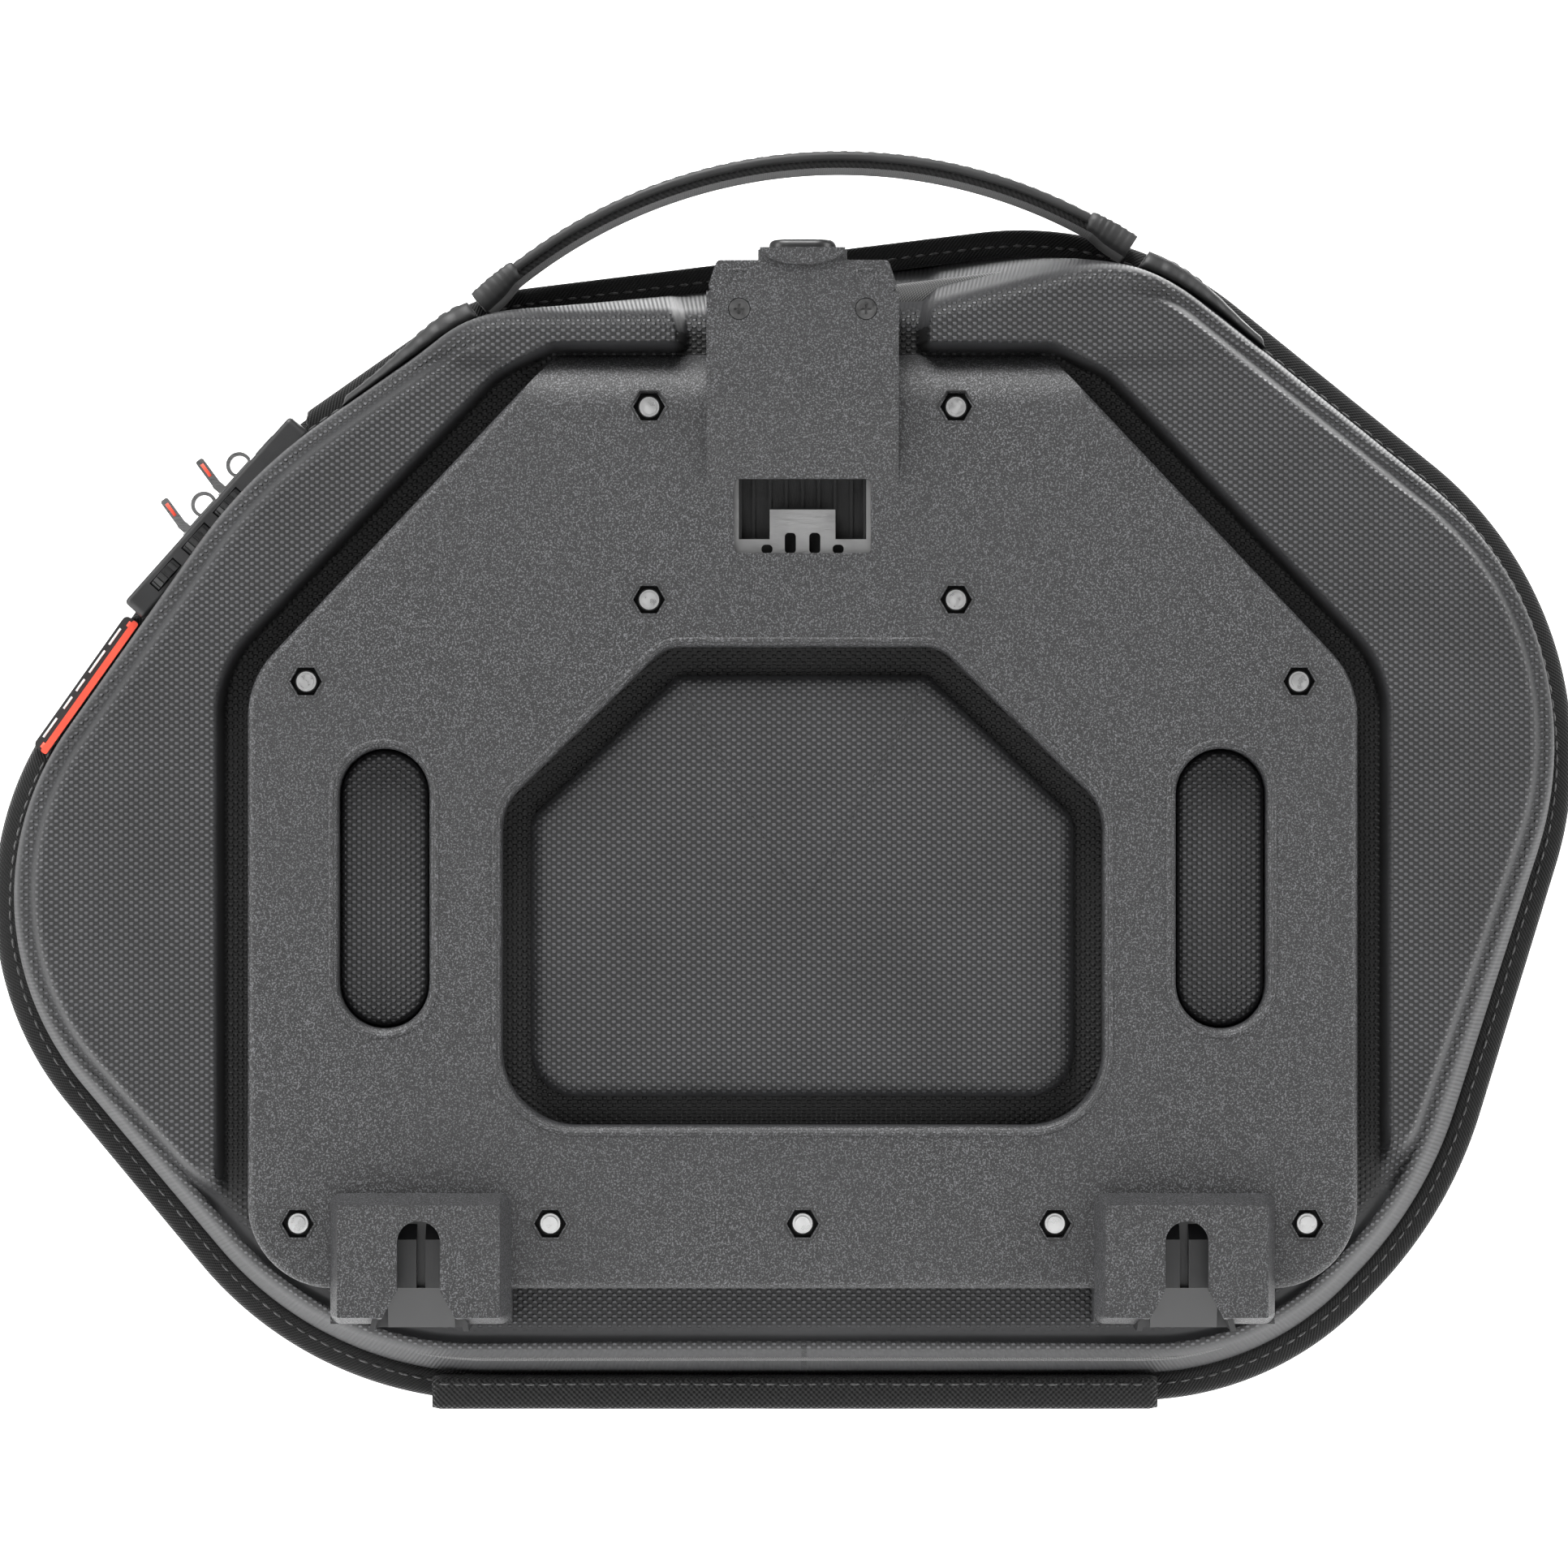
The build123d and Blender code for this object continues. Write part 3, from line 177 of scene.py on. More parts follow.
# ================================================================ mesh helpers
def mesh_object(name, points, faces, material, rides=None, slot=None, flat=False):
    """A mesh piece from (x, depth, z) points in millimetres."""
    points = np.asarray(points, float)
    mesh = bpy.data.meshes.new(name)
    written = np.column_stack([points[:, 0], -points[:, 1], points[:, 2]]) * MM
    mesh.from_pydata(written.tolist(), [], [list(map(int, f)) for f in faces])
    work = bmesh.new()
    work.from_mesh(mesh)
    bmesh.ops.recalc_face_normals(work, faces=work.faces)
    work.to_mesh(mesh)
    work.free()
    if not flat:
        mesh.shade_smooth()
    mesh.materials.append(material)
    made = bpy.data.objects.new(name, mesh)
    bpy.context.scene.collection.objects.link(made)
    if rides:
        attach(made, rides)
    return made


def paint(piece, name, values):
    """Stores three numbers per vertex for the materials to read."""
    layer = piece.data.attributes.new(name, "FLOAT_VECTOR", "POINT")
    layer.data.foreach_set("vector", np.asarray(values, np.float32).ravel())


def grid_faces(rows, columns, round_rows=False, round_columns=True, first=0):
    """Quads over a grid of points, closed round in either direction."""
    faces = []
    for r in range(rows if round_rows else rows - 1):
        for c in range(columns if round_columns else columns - 1):
            below, beside = (r + 1) % rows, (c + 1) % columns
            faces.append([first + r * columns + c, first + r * columns + beside,
                          first + below * columns + beside, first + below * columns + c])
    return faces


def lifted(flat, depth):
    """(x, depth, z) points over (X, Z) points, at one depth or at one depth each."""
    return np.column_stack([flat[:, 0], np.broadcast_to(depth, len(flat)), flat[:, 1]])


def hoop(name, rings, material, **options):
    """A closed tube from rings that follow one another round its section."""
    faces = grid_faces(len(rings), len(rings[0]), round_rows=True)
    return mesh_object(name, np.vstack(rings), faces, material, **options)


def lathe(rings):
    """Points and faces of nested rings, with both ends closed by a fan round their middles."""
    count = len(rings[0])
    points = np.vstack(rings + [rings[0].mean(0)[None], rings[-1].mean(0)[None]])
    faces = grid_faces(len(rings), count)
    first, last = len(points) - 2, len(points) - 1
    base = (len(rings) - 1) * count
    faces += [[first, (c + 1) % count, c] for c in range(count)]
    faces += [[last, base + c, base + (c + 1) % count] for c in range(count)]
    return points, faces


def on_ray(angles, radius, depth):
    """Points round CENTRE at these angles, radii and depths."""
    radius = np.broadcast_to(radius, angles.shape)
    return np.column_stack([
        CENTRE[0] + radius * np.cos(angles),
        np.broadcast_to(depth, angles.shape),
        CENTRE[1] + radius * np.sin(angles),
    ])


class Batch:
    """Many small solids gathered into one mesh."""

    def __init__(self):
        self.points, self.faces, self.count = [], [], 0

    def add(self, points, faces):
        self.points.append(np.asarray(points, float))
        self.faces += [[i + self.count for i in face] for face in faces]
        self.count += len(points)

    def piece(self, name, material, **options):
        return mesh_object(name, np.vstack(self.points), self.faces, material, **options)


def capsule(start, end, across, thick, up, sides=6, rings=5):
    """A rounded grain from start to end, such as a stitch: across wide and thick high along up."""
    start, end, up = (np.asarray(v, float) for v in (start, end, up))
    ahead = end - start
    side = unit(np.cross(ahead, up))
    top = unit(np.cross(side, ahead))
    loops = []
    for t in np.linspace(0, 1, rings):
        swell = (1 - (2 * t - 1) ** 4) ** 0.5 if 0 < t < 1 else 0.25
        turn = np.linspace(0, 2 * pi, sides, endpoint=False)[:, None]
        section = side * across / 2 * np.cos(turn) + top * thick / 2 * np.sin(turn)
        loops.append(start + ahead * t + swell * section)
    return lathe(loops)


def slab(centre, ahead, side, up, length, width, height, edge=0.25):
    """A block with bevelled edges, from its middle and its three directions."""
    loops = []
    for level, shrink in ((-0.5, edge), (-0.5 + edge / height, 0), (0.5 - edge / height, 0), (0.5, edge)):
        half_l, half_w = length / 2 - shrink, width / 2 - shrink
        loops.append(np.array([
            centre + ahead * sx * half_l + side * sy * half_w + up * level * height
            for sx, sy in ((-1, -1), (1, -1), (1, 1), (-1, 1))
        ]))
    return lathe(loops)


# ================================================================ materials
class Finish:
    """A node material: small helpers round its shader."""

    def __init__(self, name, rough=0.5, metal=0.0, specular=0.5, sheen=0.0, coat=0.0):
        self.material = bpy.data.materials.new(name)
        self.material.use_nodes = True
        self.tree = self.material.node_tree
        self.shader = self.tree.nodes["Principled BSDF"]
        self.shader.inputs["Roughness"].default_value = rough
        self.shader.inputs["Metallic"].default_value = metal
        self.shader.inputs["Specular IOR Level"].default_value = specular
        if sheen:
            self.shader.inputs["Sheen Weight"].default_value = sheen
            self.shader.inputs["Sheen Roughness"].default_value = 0.4
        if coat:
            self.shader.inputs["Coat Weight"].default_value = coat
            self.shader.inputs["Coat Roughness"].default_value = 0.25

    def put(self, socket, value):
        if isinstance(value, bpy.types.NodeSocket):
            self.tree.links.new(value, socket)
        elif value is not None:
            socket.default_value = value

    def node(self, kind, **settings):
        made = self.tree.nodes.new(kind)
        for key, value in settings.items():
            setattr(made, key, value)
        return made

    def math(self, operation, a, b=None, c=None):
        made = self.node("ShaderNodeMath", operation=operation)
        for socket, value in zip(made.inputs, (a, b, c)):
            self.put(socket, value)
        return made.outputs[0]

    def painted(self, name):
        """The three numbers stored on the mesh under this name."""
        source = self.node("ShaderNodeAttribute", attribute_name=name)
        split = self.node("ShaderNodeSeparateXYZ")
        self.put(split.inputs[0], source.outputs["Vector"])
        return split.outputs

    def place(self):
        """Object position, split into X, Y and Z in metres."""
        split = self.node("ShaderNodeSeparateXYZ")
        self.put(split.inputs[0], self.node("ShaderNodeTexCoord").outputs["Object"])
        return split.outputs

    def noise(self, scale, detail=2.0, vector=None, rough=0.5):
        made = self.node("ShaderNodeTexNoise")
        made.inputs["Scale"].default_value = scale
        made.inputs["Detail"].default_value = detail
        made.inputs["Roughness"].default_value = rough
        if vector is None:
            vector = self.node("ShaderNodeTexCoord").outputs["Object"]
        self.put(made.inputs["Vector"], vector)
        return made.outputs["Fac"]

    def wave(self, value, length):
        """A cosine of this wavelength."""
        return self.math("COSINE", self.math("MULTIPLY", value, 2 * pi / length))

    def remap(self, value, low, high, to_low=0.0, to_high=1.0):
        made = self.node("ShaderNodeMapRange", interpolation_type="SMOOTHSTEP")
        for socket, item in zip(made.inputs, (value, low, high, to_low, to_high)):
            self.put(socket, item)
        return made.outputs[0]

    def mix(self, share, a, b):
        made = self.node("ShaderNodeMix", data_type="RGBA")
        self.put(made.inputs[0], share)
        self.put(made.inputs[6], a)
        self.put(made.inputs[7], b)
        return made.outputs[2]

    def colour(self, value):
        self.put(self.shader.inputs["Base Color"], value)

    def rough(self, value):
        self.put(self.shader.inputs["Roughness"], value)

    def bump(self, height, distance_mm, strength=1.0, under=None):
        made = self.node("ShaderNodeBump")
        made.inputs["Strength"].default_value = strength
        made.inputs["Distance"].default_value = distance_mm * MM
        self.put(made.inputs["Height"], height)
        if under is not None:
            self.put(made.inputs["Normal"], under)
        return made.outputs[0]

    def normal(self, value):
        self.put(self.shader.inputs["Normal"], value)


def grey(level, tint=0.0):
    """A dark neutral colour, a touch bluer with tint."""
    return (level * (1 - tint), level * (1 - tint * 0.7), level * (1 + tint), 1.0)


def shell_finish():
    """Textile pressed with rows of staggered lens-shaped pips, with painted shade in the grooves between
    them; painted weave holds u, v and their strength, and painted ribs holds the way round the bag, the
    strength of fine pulled ribs, and painted shade."""
    f = Finish("shell_textile", rough=0.52, specular=0.42)
    u, v, strength = f.painted("weave")
    around, ribbed, shade = f.painted("ribs")
    pips = f.math("MULTIPLY", f.wave(u, 2.7), f.wave(v, 1.9))
    pips = f.remap(pips, -0.05, 0.7)
    pips = f.math("MULTIPLY", pips, strength)
    ribs = f.math("MULTIPLY", f.wave(around, 1.15), ribbed)
    worn = f.noise(38.0, 4.0)
    light = f.mix(f.remap(worn, 0.3, 0.7), grey(0.058, 0.04), grey(0.070, 0.04))
    # painted shade: the grooves between the pips take this near-black colour
    groove_shade = f.mix(f.remap(worn, 0.3, 0.7), grey(0.005, 0.03), grey(0.008, 0.03))
    lit = f.mix(f.math("MAXIMUM", pips, f.remap(strength, 0.0, 1.0, 0.22, 0.0)), groove_shade, light)
    # painted shade: the colour goes near black where painted shade is set, in the trench and the tower
    # channel
    f.colour(f.mix(shade, lit, grey(0.004)))
    f.rough(f.math("SUBTRACT", 0.62, f.math("MULTIPLY", pips, 0.16)))
    fine = f.bump(f.noise(2600.0, 1.0), 0.05, 0.5)
    ribbing = f.bump(ribs, 0.09, 0.8, fine)
    f.normal(f.bump(pips, 0.5, 1.0, ribbing))
    return f.material


def plate_finish():
    """Glass-filled nylon with a coarse sand grain."""
    f = Finish("plate_plastic", rough=0.5, specular=0.5)
    grain = f.noise(2250.0, 2.0, rough=0.6)
    broad = f.noise(22.0, 3.0)
    sparkle = f.remap(grain, 0.48, 0.68)
    # painted highlight: the grain's bright specks of colour stand for glints on the sand grain
    base = f.mix(sparkle, grey(0.008, 0.03), grey(0.115, 0.03))
    f.colour(f.mix(f.remap(broad, 0.2, 0.8, 0.0, 0.3), base, grey(0.022, 0.03)))
    f.rough(f.remap(grain, 0.3, 0.7, 0.6, 0.38))
    f.normal(f.bump(grain, 0.2, 1.0))
    return f.material


def moulded(name, level, rough=0.45, grain=0.04, scale=2200.0, coat=0.0):
    """Smooth moulded plastic with a faint grain and handling marks."""
    f = Finish(name, rough=rough, specular=0.5, coat=coat)
    wear = f.noise(60.0, 4.0)
    f.colour(f.mix(f.remap(wear, 0.3, 0.75), grey(level, 0.02), grey(level * 1.35, 0.02)))
    f.rough(f.remap(wear, 0.2, 0.8, rough - 0.06, rough + 0.08))
    f.normal(f.bump(f.noise(scale, 2.0), grain, 0.7))
    return f.material


def rubber(name, level, rough=0.55):
    """Satin rubber: faint orange peel and slightly dusty hollows."""
    f = Finish(name, rough=rough, specular=0.45, sheen=0.15)
    dust = f.noise(90.0, 5.0)
    f.colour(f.mix(f.remap(dust, 0.4, 0.8), grey(level, 0.01), grey(level * 1.6, 0.01)))
    f.rough(f.remap(dust, 0.2, 0.8, rough - 0.08, rough + 0.1))
    f.normal(f.bump(f.noise(900.0, 3.0), 0.05, 0.6))
    return f.material


def metal(name, level, rough=0.3, along=(1, 1, 30), tint=0.0, scale=420.0):
    """Steel with fine streaks across the along axis and a few darker stains."""
    f = Finish(name, rough=rough, metal=1.0)
    place = f.node("ShaderNodeMapping")
    place.inputs["Scale"].default_value = along
    f.put(place.inputs["Vector"], f.node("ShaderNodeTexCoord").outputs["Object"])
    streak = f.noise(scale, 3.0, place.outputs[0])
    stain = f.noise(75.0, 3.0)
    bright = f.mix(f.remap(stain, 0.35, 0.8), grey(level, tint), grey(level * 0.72, tint))
    f.colour(bright)
    f.rough(f.remap(streak, 0.25, 0.75, rough - 0.07, rough + 0.12))
    f.normal(f.bump(streak, 0.02, 0.5))
    return f.material


def nut_finish():
    """Zinc lock nut with a bright collar; below the collar its hexagon is painted black as painted shade from
    its pocket.
    """
    f = Finish("zinc_nut", rough=0.35, metal=1.0)
    collar = f.remap(f.place()[1], -72.4 * MM, -72.6 * MM)
    stain = f.noise(900.0, 3.0)
    # painted shade: the hexagon below the collar is coloured near black
    f.colour(f.mix(collar, grey(0.012), f.mix(stain, grey(0.75), grey(0.5))))
    f.normal(f.bump(stain, 0.03, 0.5))
    return f.material


def twill_finish(name, level, pitch=1.1, slope=1.0, sheen=0.25):
    """Woven tape with diagonal ribs; painted weave holds the way along and the way across it."""
    f = Finish(name, rough=0.78, specular=0.3, sheen=sheen)
    u, v, shade = f.painted("weave")
    rib = f.wave(f.math("ADD", u, f.math("MULTIPLY", v, slope)), pitch)
    yarn = f.wave(f.math("SUBTRACT", v, f.math("MULTIPLY", u, 0.35)), pitch * 0.55)
    cloth = f.math("ADD", f.remap(rib, -0.9, 0.9), f.math("MULTIPLY", yarn, 0.18))
    lint = f.noise(140.0, 5.0)
    high = f.mix(f.remap(lint, 0.35, 0.8), grey(level * 1.5), grey(level * 2.1))
    lit = f.mix(f.remap(cloth, 0.1, 1.0), grey(level * 0.55), high)
    f.colour(f.mix(shade, lit, grey(level * 0.3)))
    f.normal(f.bump(cloth, 0.16, 0.9))
    return f.material


def plain_weave(name, level, pitch=0.9, depth=0.16, sheen=0.2, rough=0.75):
    """Square plain weave; painted weave holds both ways across the cloth and shade."""
    f = Finish(name, rough=rough, specular=0.35, sheen=sheen)
    u, v, shade = f.painted("weave")
    knots = f.math("MULTIPLY", f.wave(u, pitch), f.wave(v, pitch))
    lint = f.noise(120.0, 5.0)
    high = f.mix(f.remap(lint, 0.35, 0.8), grey(level * 1.4), grey(level * 1.9))
    lit = f.mix(f.remap(knots, -0.6, 0.9), grey(level * 0.6), high)
    f.colour(f.mix(shade, lit, grey(level * 0.3)))
    f.normal(f.bump(knots, depth, 0.9))
    return f.material


def thread_finish(name, level):
    """Twisted sewing thread."""
    f = Finish(name, rough=0.6, specular=0.35, sheen=0.3)
    twist = f.noise(1400.0, 2.0)
    f.colour(f.mix(f.remap(twist, 0.35, 0.7), grey(level * 0.6), grey(level * 1.5)))
    f.normal(f.bump(twist, 0.05, 0.7))
    return f.material


def red_finish():
    """Moulded coral-red rubber."""
    f = Finish("badge_red", rough=0.42, specular=0.45, coat=0.15)
    wear = f.noise(160.0, 4.0)
    f.colour(f.mix(f.remap(wear, 0.3, 0.8), (0.92, 0.085, 0.045, 1), (0.80, 0.065, 0.035, 1)))
    f.normal(f.bump(f.noise(1500.0, 2.0), 0.03, 0.6))
    return f.material


def print_finish():
    """White screen print, slightly rubbed."""
    f = Finish("white_print", rough=0.5)
    rub = f.noise(900.0, 3.0)
    f.colour(f.mix(f.remap(rub, 0.35, 0.75), (0.80, 0.80, 0.79, 1), (0.55, 0.55, 0.55, 1)))
    f.normal(f.bump(rub, 0.02, 0.5))
    return f.material


def studio_finish(name, level):
    """Matt pale paper with an almost invisible fibre."""
    f = Finish(name, rough=0.95, specular=0.1)
    f.shader.inputs["Emission Color"].default_value = (1, 1, 1, 1)
    f.shader.inputs["Emission Strength"].default_value = 0.55
    fibre = f.noise(40.0, 4.0)
    f.colour(f.mix(fibre, (level, level, level, 1), (level * 0.985, level * 0.985, level * 0.985, 1)))
    return f.material


SHELL = shell_finish()
PLATE_PLASTIC = plate_finish()
BAND = twill_finish("edge_band", 0.006)
NYLON = plain_weave("hinge_fabric", 0.007, pitch=1.5, depth=0.3)
LINING = plain_weave("lining", 0.045, pitch=1.2, depth=0.1)
WEBBING = twill_finish("webbing", 0.008, pitch=1.6, slope=0.9)
THREAD = thread_finish("thread", 0.055)
RUBBER = rubber("handle_rubber", 0.012)
BUTTON = moulded("button_plastic", 0.012, 0.42)
GUIDE = moulded("guide_plastic", 0.022, 0.34, grain=0.02, coat=0.15)
INNER = moulded("inner_plastic", 0.006, 0.55)
LOCK = moulded("lock_plastic", 0.014, 0.42, grain=0.06, scale=1500.0)
DIAL = moulded("dial_plastic", 0.008, 0.35)
ZIP = moulded("zip_coil", 0.009, 0.4)
SATIN = metal("satin_steel", 0.40, 0.36)
SPRING = metal("spring_steel", 0.6, 0.3)
ZINC = metal("zinc_steel", 0.66, 0.28, along=(1, 1, 1))
NUT = nut_finish()
SLIDER = metal("slider_steel", 0.26, 0.3)
BLACK_SCREW = metal("black_screw", 0.17, 0.32, along=(1, 1, 1))
BADGE = rubber("badge_rubber", 0.01)
RED = red_finish()
PRINT = print_finish()


# ================================================================ back shell
outline = rounded(OUTLINE, OUTLINE_RADII)
outline = np.roll(outline, -int(np.argmin(abs(outline[:, 0] - PLATE_X) + abs(outline[:, 1] - 1.2))), 0)
lip_outline = rounded(LIP, LIP_RADII)
plate_outline = rounded(PLATE, PLATE_RADII, PLATE_X)
recess_outline = rounded(RECESS, RECESS_RADII, PLATE_X)
window_outline = rounded(WINDOW, WINDOW_RADII, PLATE_X)


def inset(points, amount):
    return points + inward(points) * np.reshape(amount, (-1, 1))


def shell_angles(count=760, fine_half=26):
    """Angles round the bag, evenly spaced along its outline and closer at the tower channel's walls."""
    even = evenly(outline, count) - CENTRE
    extra = []
    for side in (-1, 1):
        x = PLATE_X + side * (CHANNEL_HALF + 2.0) - CENTRE[0] + np.linspace(-7, 7, 2 * fine_half)
        extra.append(np.arctan2(296.0 - CENTRE[1], x))
    angles = np.r_[np.arctan2(even[:, 1], even[:, 0]), np.concatenate(extra)]
    return from_foot(angles)


def from_foot(angles):
    """The same angles in order, clockwise round the bag from its foot, where the seam is hidden."""
    return pi * 1.5 - np.sort((pi * 1.5 - angles) % (2 * pi))


def wing_share(points, from_lip, top_zone):
    """How far the face rises from the shell's floor to its wings, from 0 to 1."""
    x, z = points[:, 0], points[:, 1]
    past_recess = smooth(signed_distance(points, recess_outline), -0.6, 2.4)
    past_lip = np.maximum(smooth(from_lip, 2.6, 8.0), top_zone)
    beside_tower = smooth(np.abs(x - PLATE_X), CHANNEL_HALF - 0.5, CHANNEL_HALF + 3.5)
    beside_tower = np.maximum(beside_tower, smooth(z, 200, 150))
    above_foot = np.where(x < 0, smooth(z, 60, 71), smooth(z, 68, 80))
    return past_recess * past_lip * beside_tower * above_foot


def face_depth(points, from_lip, top_zone):
    """Depth of the back shell's moulded face at points (X, Z)."""
    x, z = points[:, 0], points[:, 1]
    share = wing_share(points, from_lip, top_zone)
    crown = 0.9 * smooth(from_lip, 4, 26) * smooth(signed_distance(points, recess_outline), 0, 26)
    fold = np.where(z < 286, np.exp(-((286 - z) / 9.0) ** 2), np.exp(-((z - 286) / 1.6) ** 2))
    fold *= 1.7 * smooth(np.abs(x - PLATE_X), 76, 84) * (1 - smooth(np.abs(x - PLATE_X), 96, 118))
    valley = 1.3 * np.exp(-((from_lip - 4.6) / 2.0) ** 2) * (1 - top_zone)
    roll = 1.6 * (1 - smooth(from_lip, 0.0, 5.0)) * (1 - top_zone)
    rise = WING_FACE - SHELL_FLOOR + crown - fold
    return SHELL_FLOOR + rise * share - valley * (1 - share) + roll


def build_back_shell():
    angles = shell_angles()
    rim = reach(inset(outline, RIM_INSET), angles)
    lip = reach(lip_outline, angles)
    edge_x = CENTRE[0] + lip * np.cos(angles)
    edge_up = np.sin(angles) > 0.55
    top_zone = smooth(edge_x, -104, -84) * (1 - smooth(edge_x, 94, 114)) * edge_up
    inner = np.minimum(reach(recess_outline, angles), lip - 12)
    window = reach(window_outline, angles)

    def face_ring(radius):
        ring = on_ray(angles, radius, 0.0)
        flat = ring[:, [0, 2]]
        distance = -signed_distance(flat, lip_outline)
        ring[:, 1] = face_depth(flat, distance, top_zone)
        return ring, distance

    start = 3.0 + 3.0 * top_zone
    first_face, _ = face_ring(lip - start)
    corner, _ = face_ring(lip - 0.01)
    corner[:, 1] = first_face[:, 1] + 0.4
    rings, kind, along = [], [], []

    def keep(ring, what, distance=0.0):
        rings.append(ring)
        kind.append(what)
        along.append(np.broadcast_to(distance, angles.shape))

    # inside: floor, wall and rim
    keep(on_ray(angles, 40.0, 58.0), "inside")
    keep(on_ray(angles, lip - 12.0, 58.0), "inside")
    keep(on_ray(angles, lip - 9.0, 54.0), "inside")
    keep(on_ray(angles, rim - 4.0, RIM_DEPTH + 1.2), "inside")
    keep(on_ray(angles, rim - 3.0, RIM_DEPTH), "inside")
    # outside: drafted wall up to a rounded lip
    rim_ring = on_ray(angles, rim, RIM_DEPTH)
    turn_start = corner + (rim_ring - corner) * (12.0 / (corner[:, 1] - RIM_DEPTH))[:, None]
    for t in np.linspace(0, 1, 12):
        bow = 1.2 * sin(pi * t)
        ring = rim_ring + (turn_start - rim_ring) * t
        ring = ring + bow * np.column_stack([np.cos(angles), 0 * angles, np.sin(angles)])
        keep(ring, "wall")
    for t in np.linspace(0.1, 1, 10):
        keep(turn_start * (1 - t) ** 2 + 2 * corner * t * (1 - t) + first_face * t * t, "lip")
    # face: close rings at the lip and at the trench, wider ones between
    gap = (lip - start) - inner
    near = np.minimum(7.0, gap * 0.35)
    steps = [near * t for t in np.linspace(0.11, 1, 9)]
    steps += [near + (gap - near - np.minimum(6.5, gap * 0.4)) * t for t in np.linspace(0.055, 1, 18)]
    steps += [gap - np.minimum(6.5, gap * 0.4) * (1 - t) for t in np.linspace(0.09, 1, 11)]
    for step in steps:
        ring, distance = face_ring(lip - start - step)
        keep(ring, "face", distance)
    for step in (0.5, 1.2, 4.0, 12.0):
        ring, distance = face_ring(inner - step)
        keep(ring, "face", distance)
    keep(on_ray(angles, window + 1.0, SHELL_FLOOR), "face", 60.0)
    keep(on_ray(angles, window - 14.0, SHELL_FLOOR), "face", 60.0)
    points, faces = lathe(rings)
    piece = mesh_object("shell_back", points, faces, SHELL, rides="back_case", slot="shell_textile")
    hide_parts("back_shell")

    # painted pattern: pips on the face, pulled ribs on the wall, and painted shade that darkens the trench
    # round the plate and the channel beside the tower
    flat = points[:, [0, 2]]
    kinds = np.r_[np.repeat(kind, len(angles)), ["inside", "face"]]
    distance = np.r_[np.concatenate(along), [0.0, 60.0]]
    normals = np.zeros(len(points) * 3, np.float32)
    piece.data.vertices.foreach_get("normal", normals)
    facing = -normals.reshape(-1, 3)[:, 1]
    recess = signed_distance(flat, recess_outline)
    to_plate = signed_distance(flat, plate_outline)
    low = smooth(flat[:, 1], 70, 60)
    pips = smooth(distance, 2.0, 4.5) * (1 - low) + low * smooth(distance, 5.0, 9.0) * smooth(to_plate, 16, 9)
    pips = pips * smooth(facing, 0.22, 0.5) * (kinds == "face")
    pips = np.where(kinds == "lip", smooth(facing, 0.4, 0.7), pips)
    # painted shade: the trench round the plate and the channel beside the tower go near black in colour
    trench = smooth(-recess, -1.8, 0.6) * smooth(flat[:, 1], 50, 68) * smooth(flat[:, 1], 291, 284)
    channel = smooth(CHANNEL_HALF + 3.0 - np.abs(flat[:, 0] - PLATE_X), -1.5, 1.0)
    channel = channel * smooth(flat[:, 1], 284, 288)
    channel = channel * (1 - smooth(flat[:, 1], 300, 304)) * (kinds == "face")
    shade = np.clip(np.maximum(trench * (kinds == "face"), channel), 0, 1)
    around = np.tile(run_along(rings[16][:, [0, 2]]), len(rings))
    ribs = np.where(kinds == "wall", 1.0, np.where(kinds == "lip", 0.6, 0.0))
    paint(piece, "weave", np.column_stack([flat, pips]))
    paint(piece, "ribs", np.column_stack([np.r_[around, 0, 0], ribs, shade]))
    return piece


def pad_rings(outline_points, base, top, round_r, crown, rings=8):
    """A raised pad on a closed outline: a rounded shoulder and a crowned top."""
    middle = outline_points.mean(0)
    loops = [lifted(outline_points, base)]
    for t in np.linspace(0, pi / 2, 8):
        moved = inset(outline_points, round_r * (1 - cos(t)))
        loops.append(lifted(moved, top - crown - round_r * (1 - sin(t))))
    edge = inset(outline_points, round_r)
    for s in np.linspace(0, 0.96, rings + 1)[1:]:
        loops.append(lifted(edge + (middle - edge) * s, top - crown * (1 - s) ** 2.2))
    return loops


def paint_pad(piece, points, strength=1.0):
    facing = np.zeros(len(points) * 3, np.float32)
    piece.data.vertices.foreach_get("normal", facing)
    pips = smooth(np.abs(facing.reshape(-1, 3)[:, 1]), 0.45, 0.8) * strength
    paint(piece, "weave", np.column_stack([points[:, [0, 2]], pips]))
    paint(piece, "ribs", np.zeros((len(points), 3)))


def build_pads():
    """The padded pillow in the plate's window and the low pads behind its two slots."""
    pillow = inset(evenly(window_outline, 420), PILLOW_INSET)
    points, faces = lathe(pad_rings(pillow, SHELL_FLOOR - 0.5, PILLOW_FACE, 5.0, 1.2, rings=14))
    piece = mesh_object("window_pillow", points, faces, SHELL, rides="back_case", slot="shell_textile")
    paint_pad(piece, points)
    for name, side in (("left", -1), ("right", 1)):
        half_w, half_l = SLOT_W / 2 - 0.6, SLOT_L / 2 - 0.6
        corners = [(-half_w, -half_l), (-half_w, half_l), (half_w, half_l), (half_w, -half_l)]
        centre_x = PLATE_X + side * SLOT_X
        ring = rounded([(x + centre_x, z + SLOT_Z) for x, z in corners], [half_w - 0.01] * 4, count=160)
        points, faces = lathe(pad_rings(ring, SHELL_FLOOR - 0.5, 69.0, 2.2, 0.6, rings=5))
        pad = mesh_object(f"slot_pad_{name}", points, faces, SHELL, rides="back_case", slot="shell_textile")
        paint_pad(pad, points)


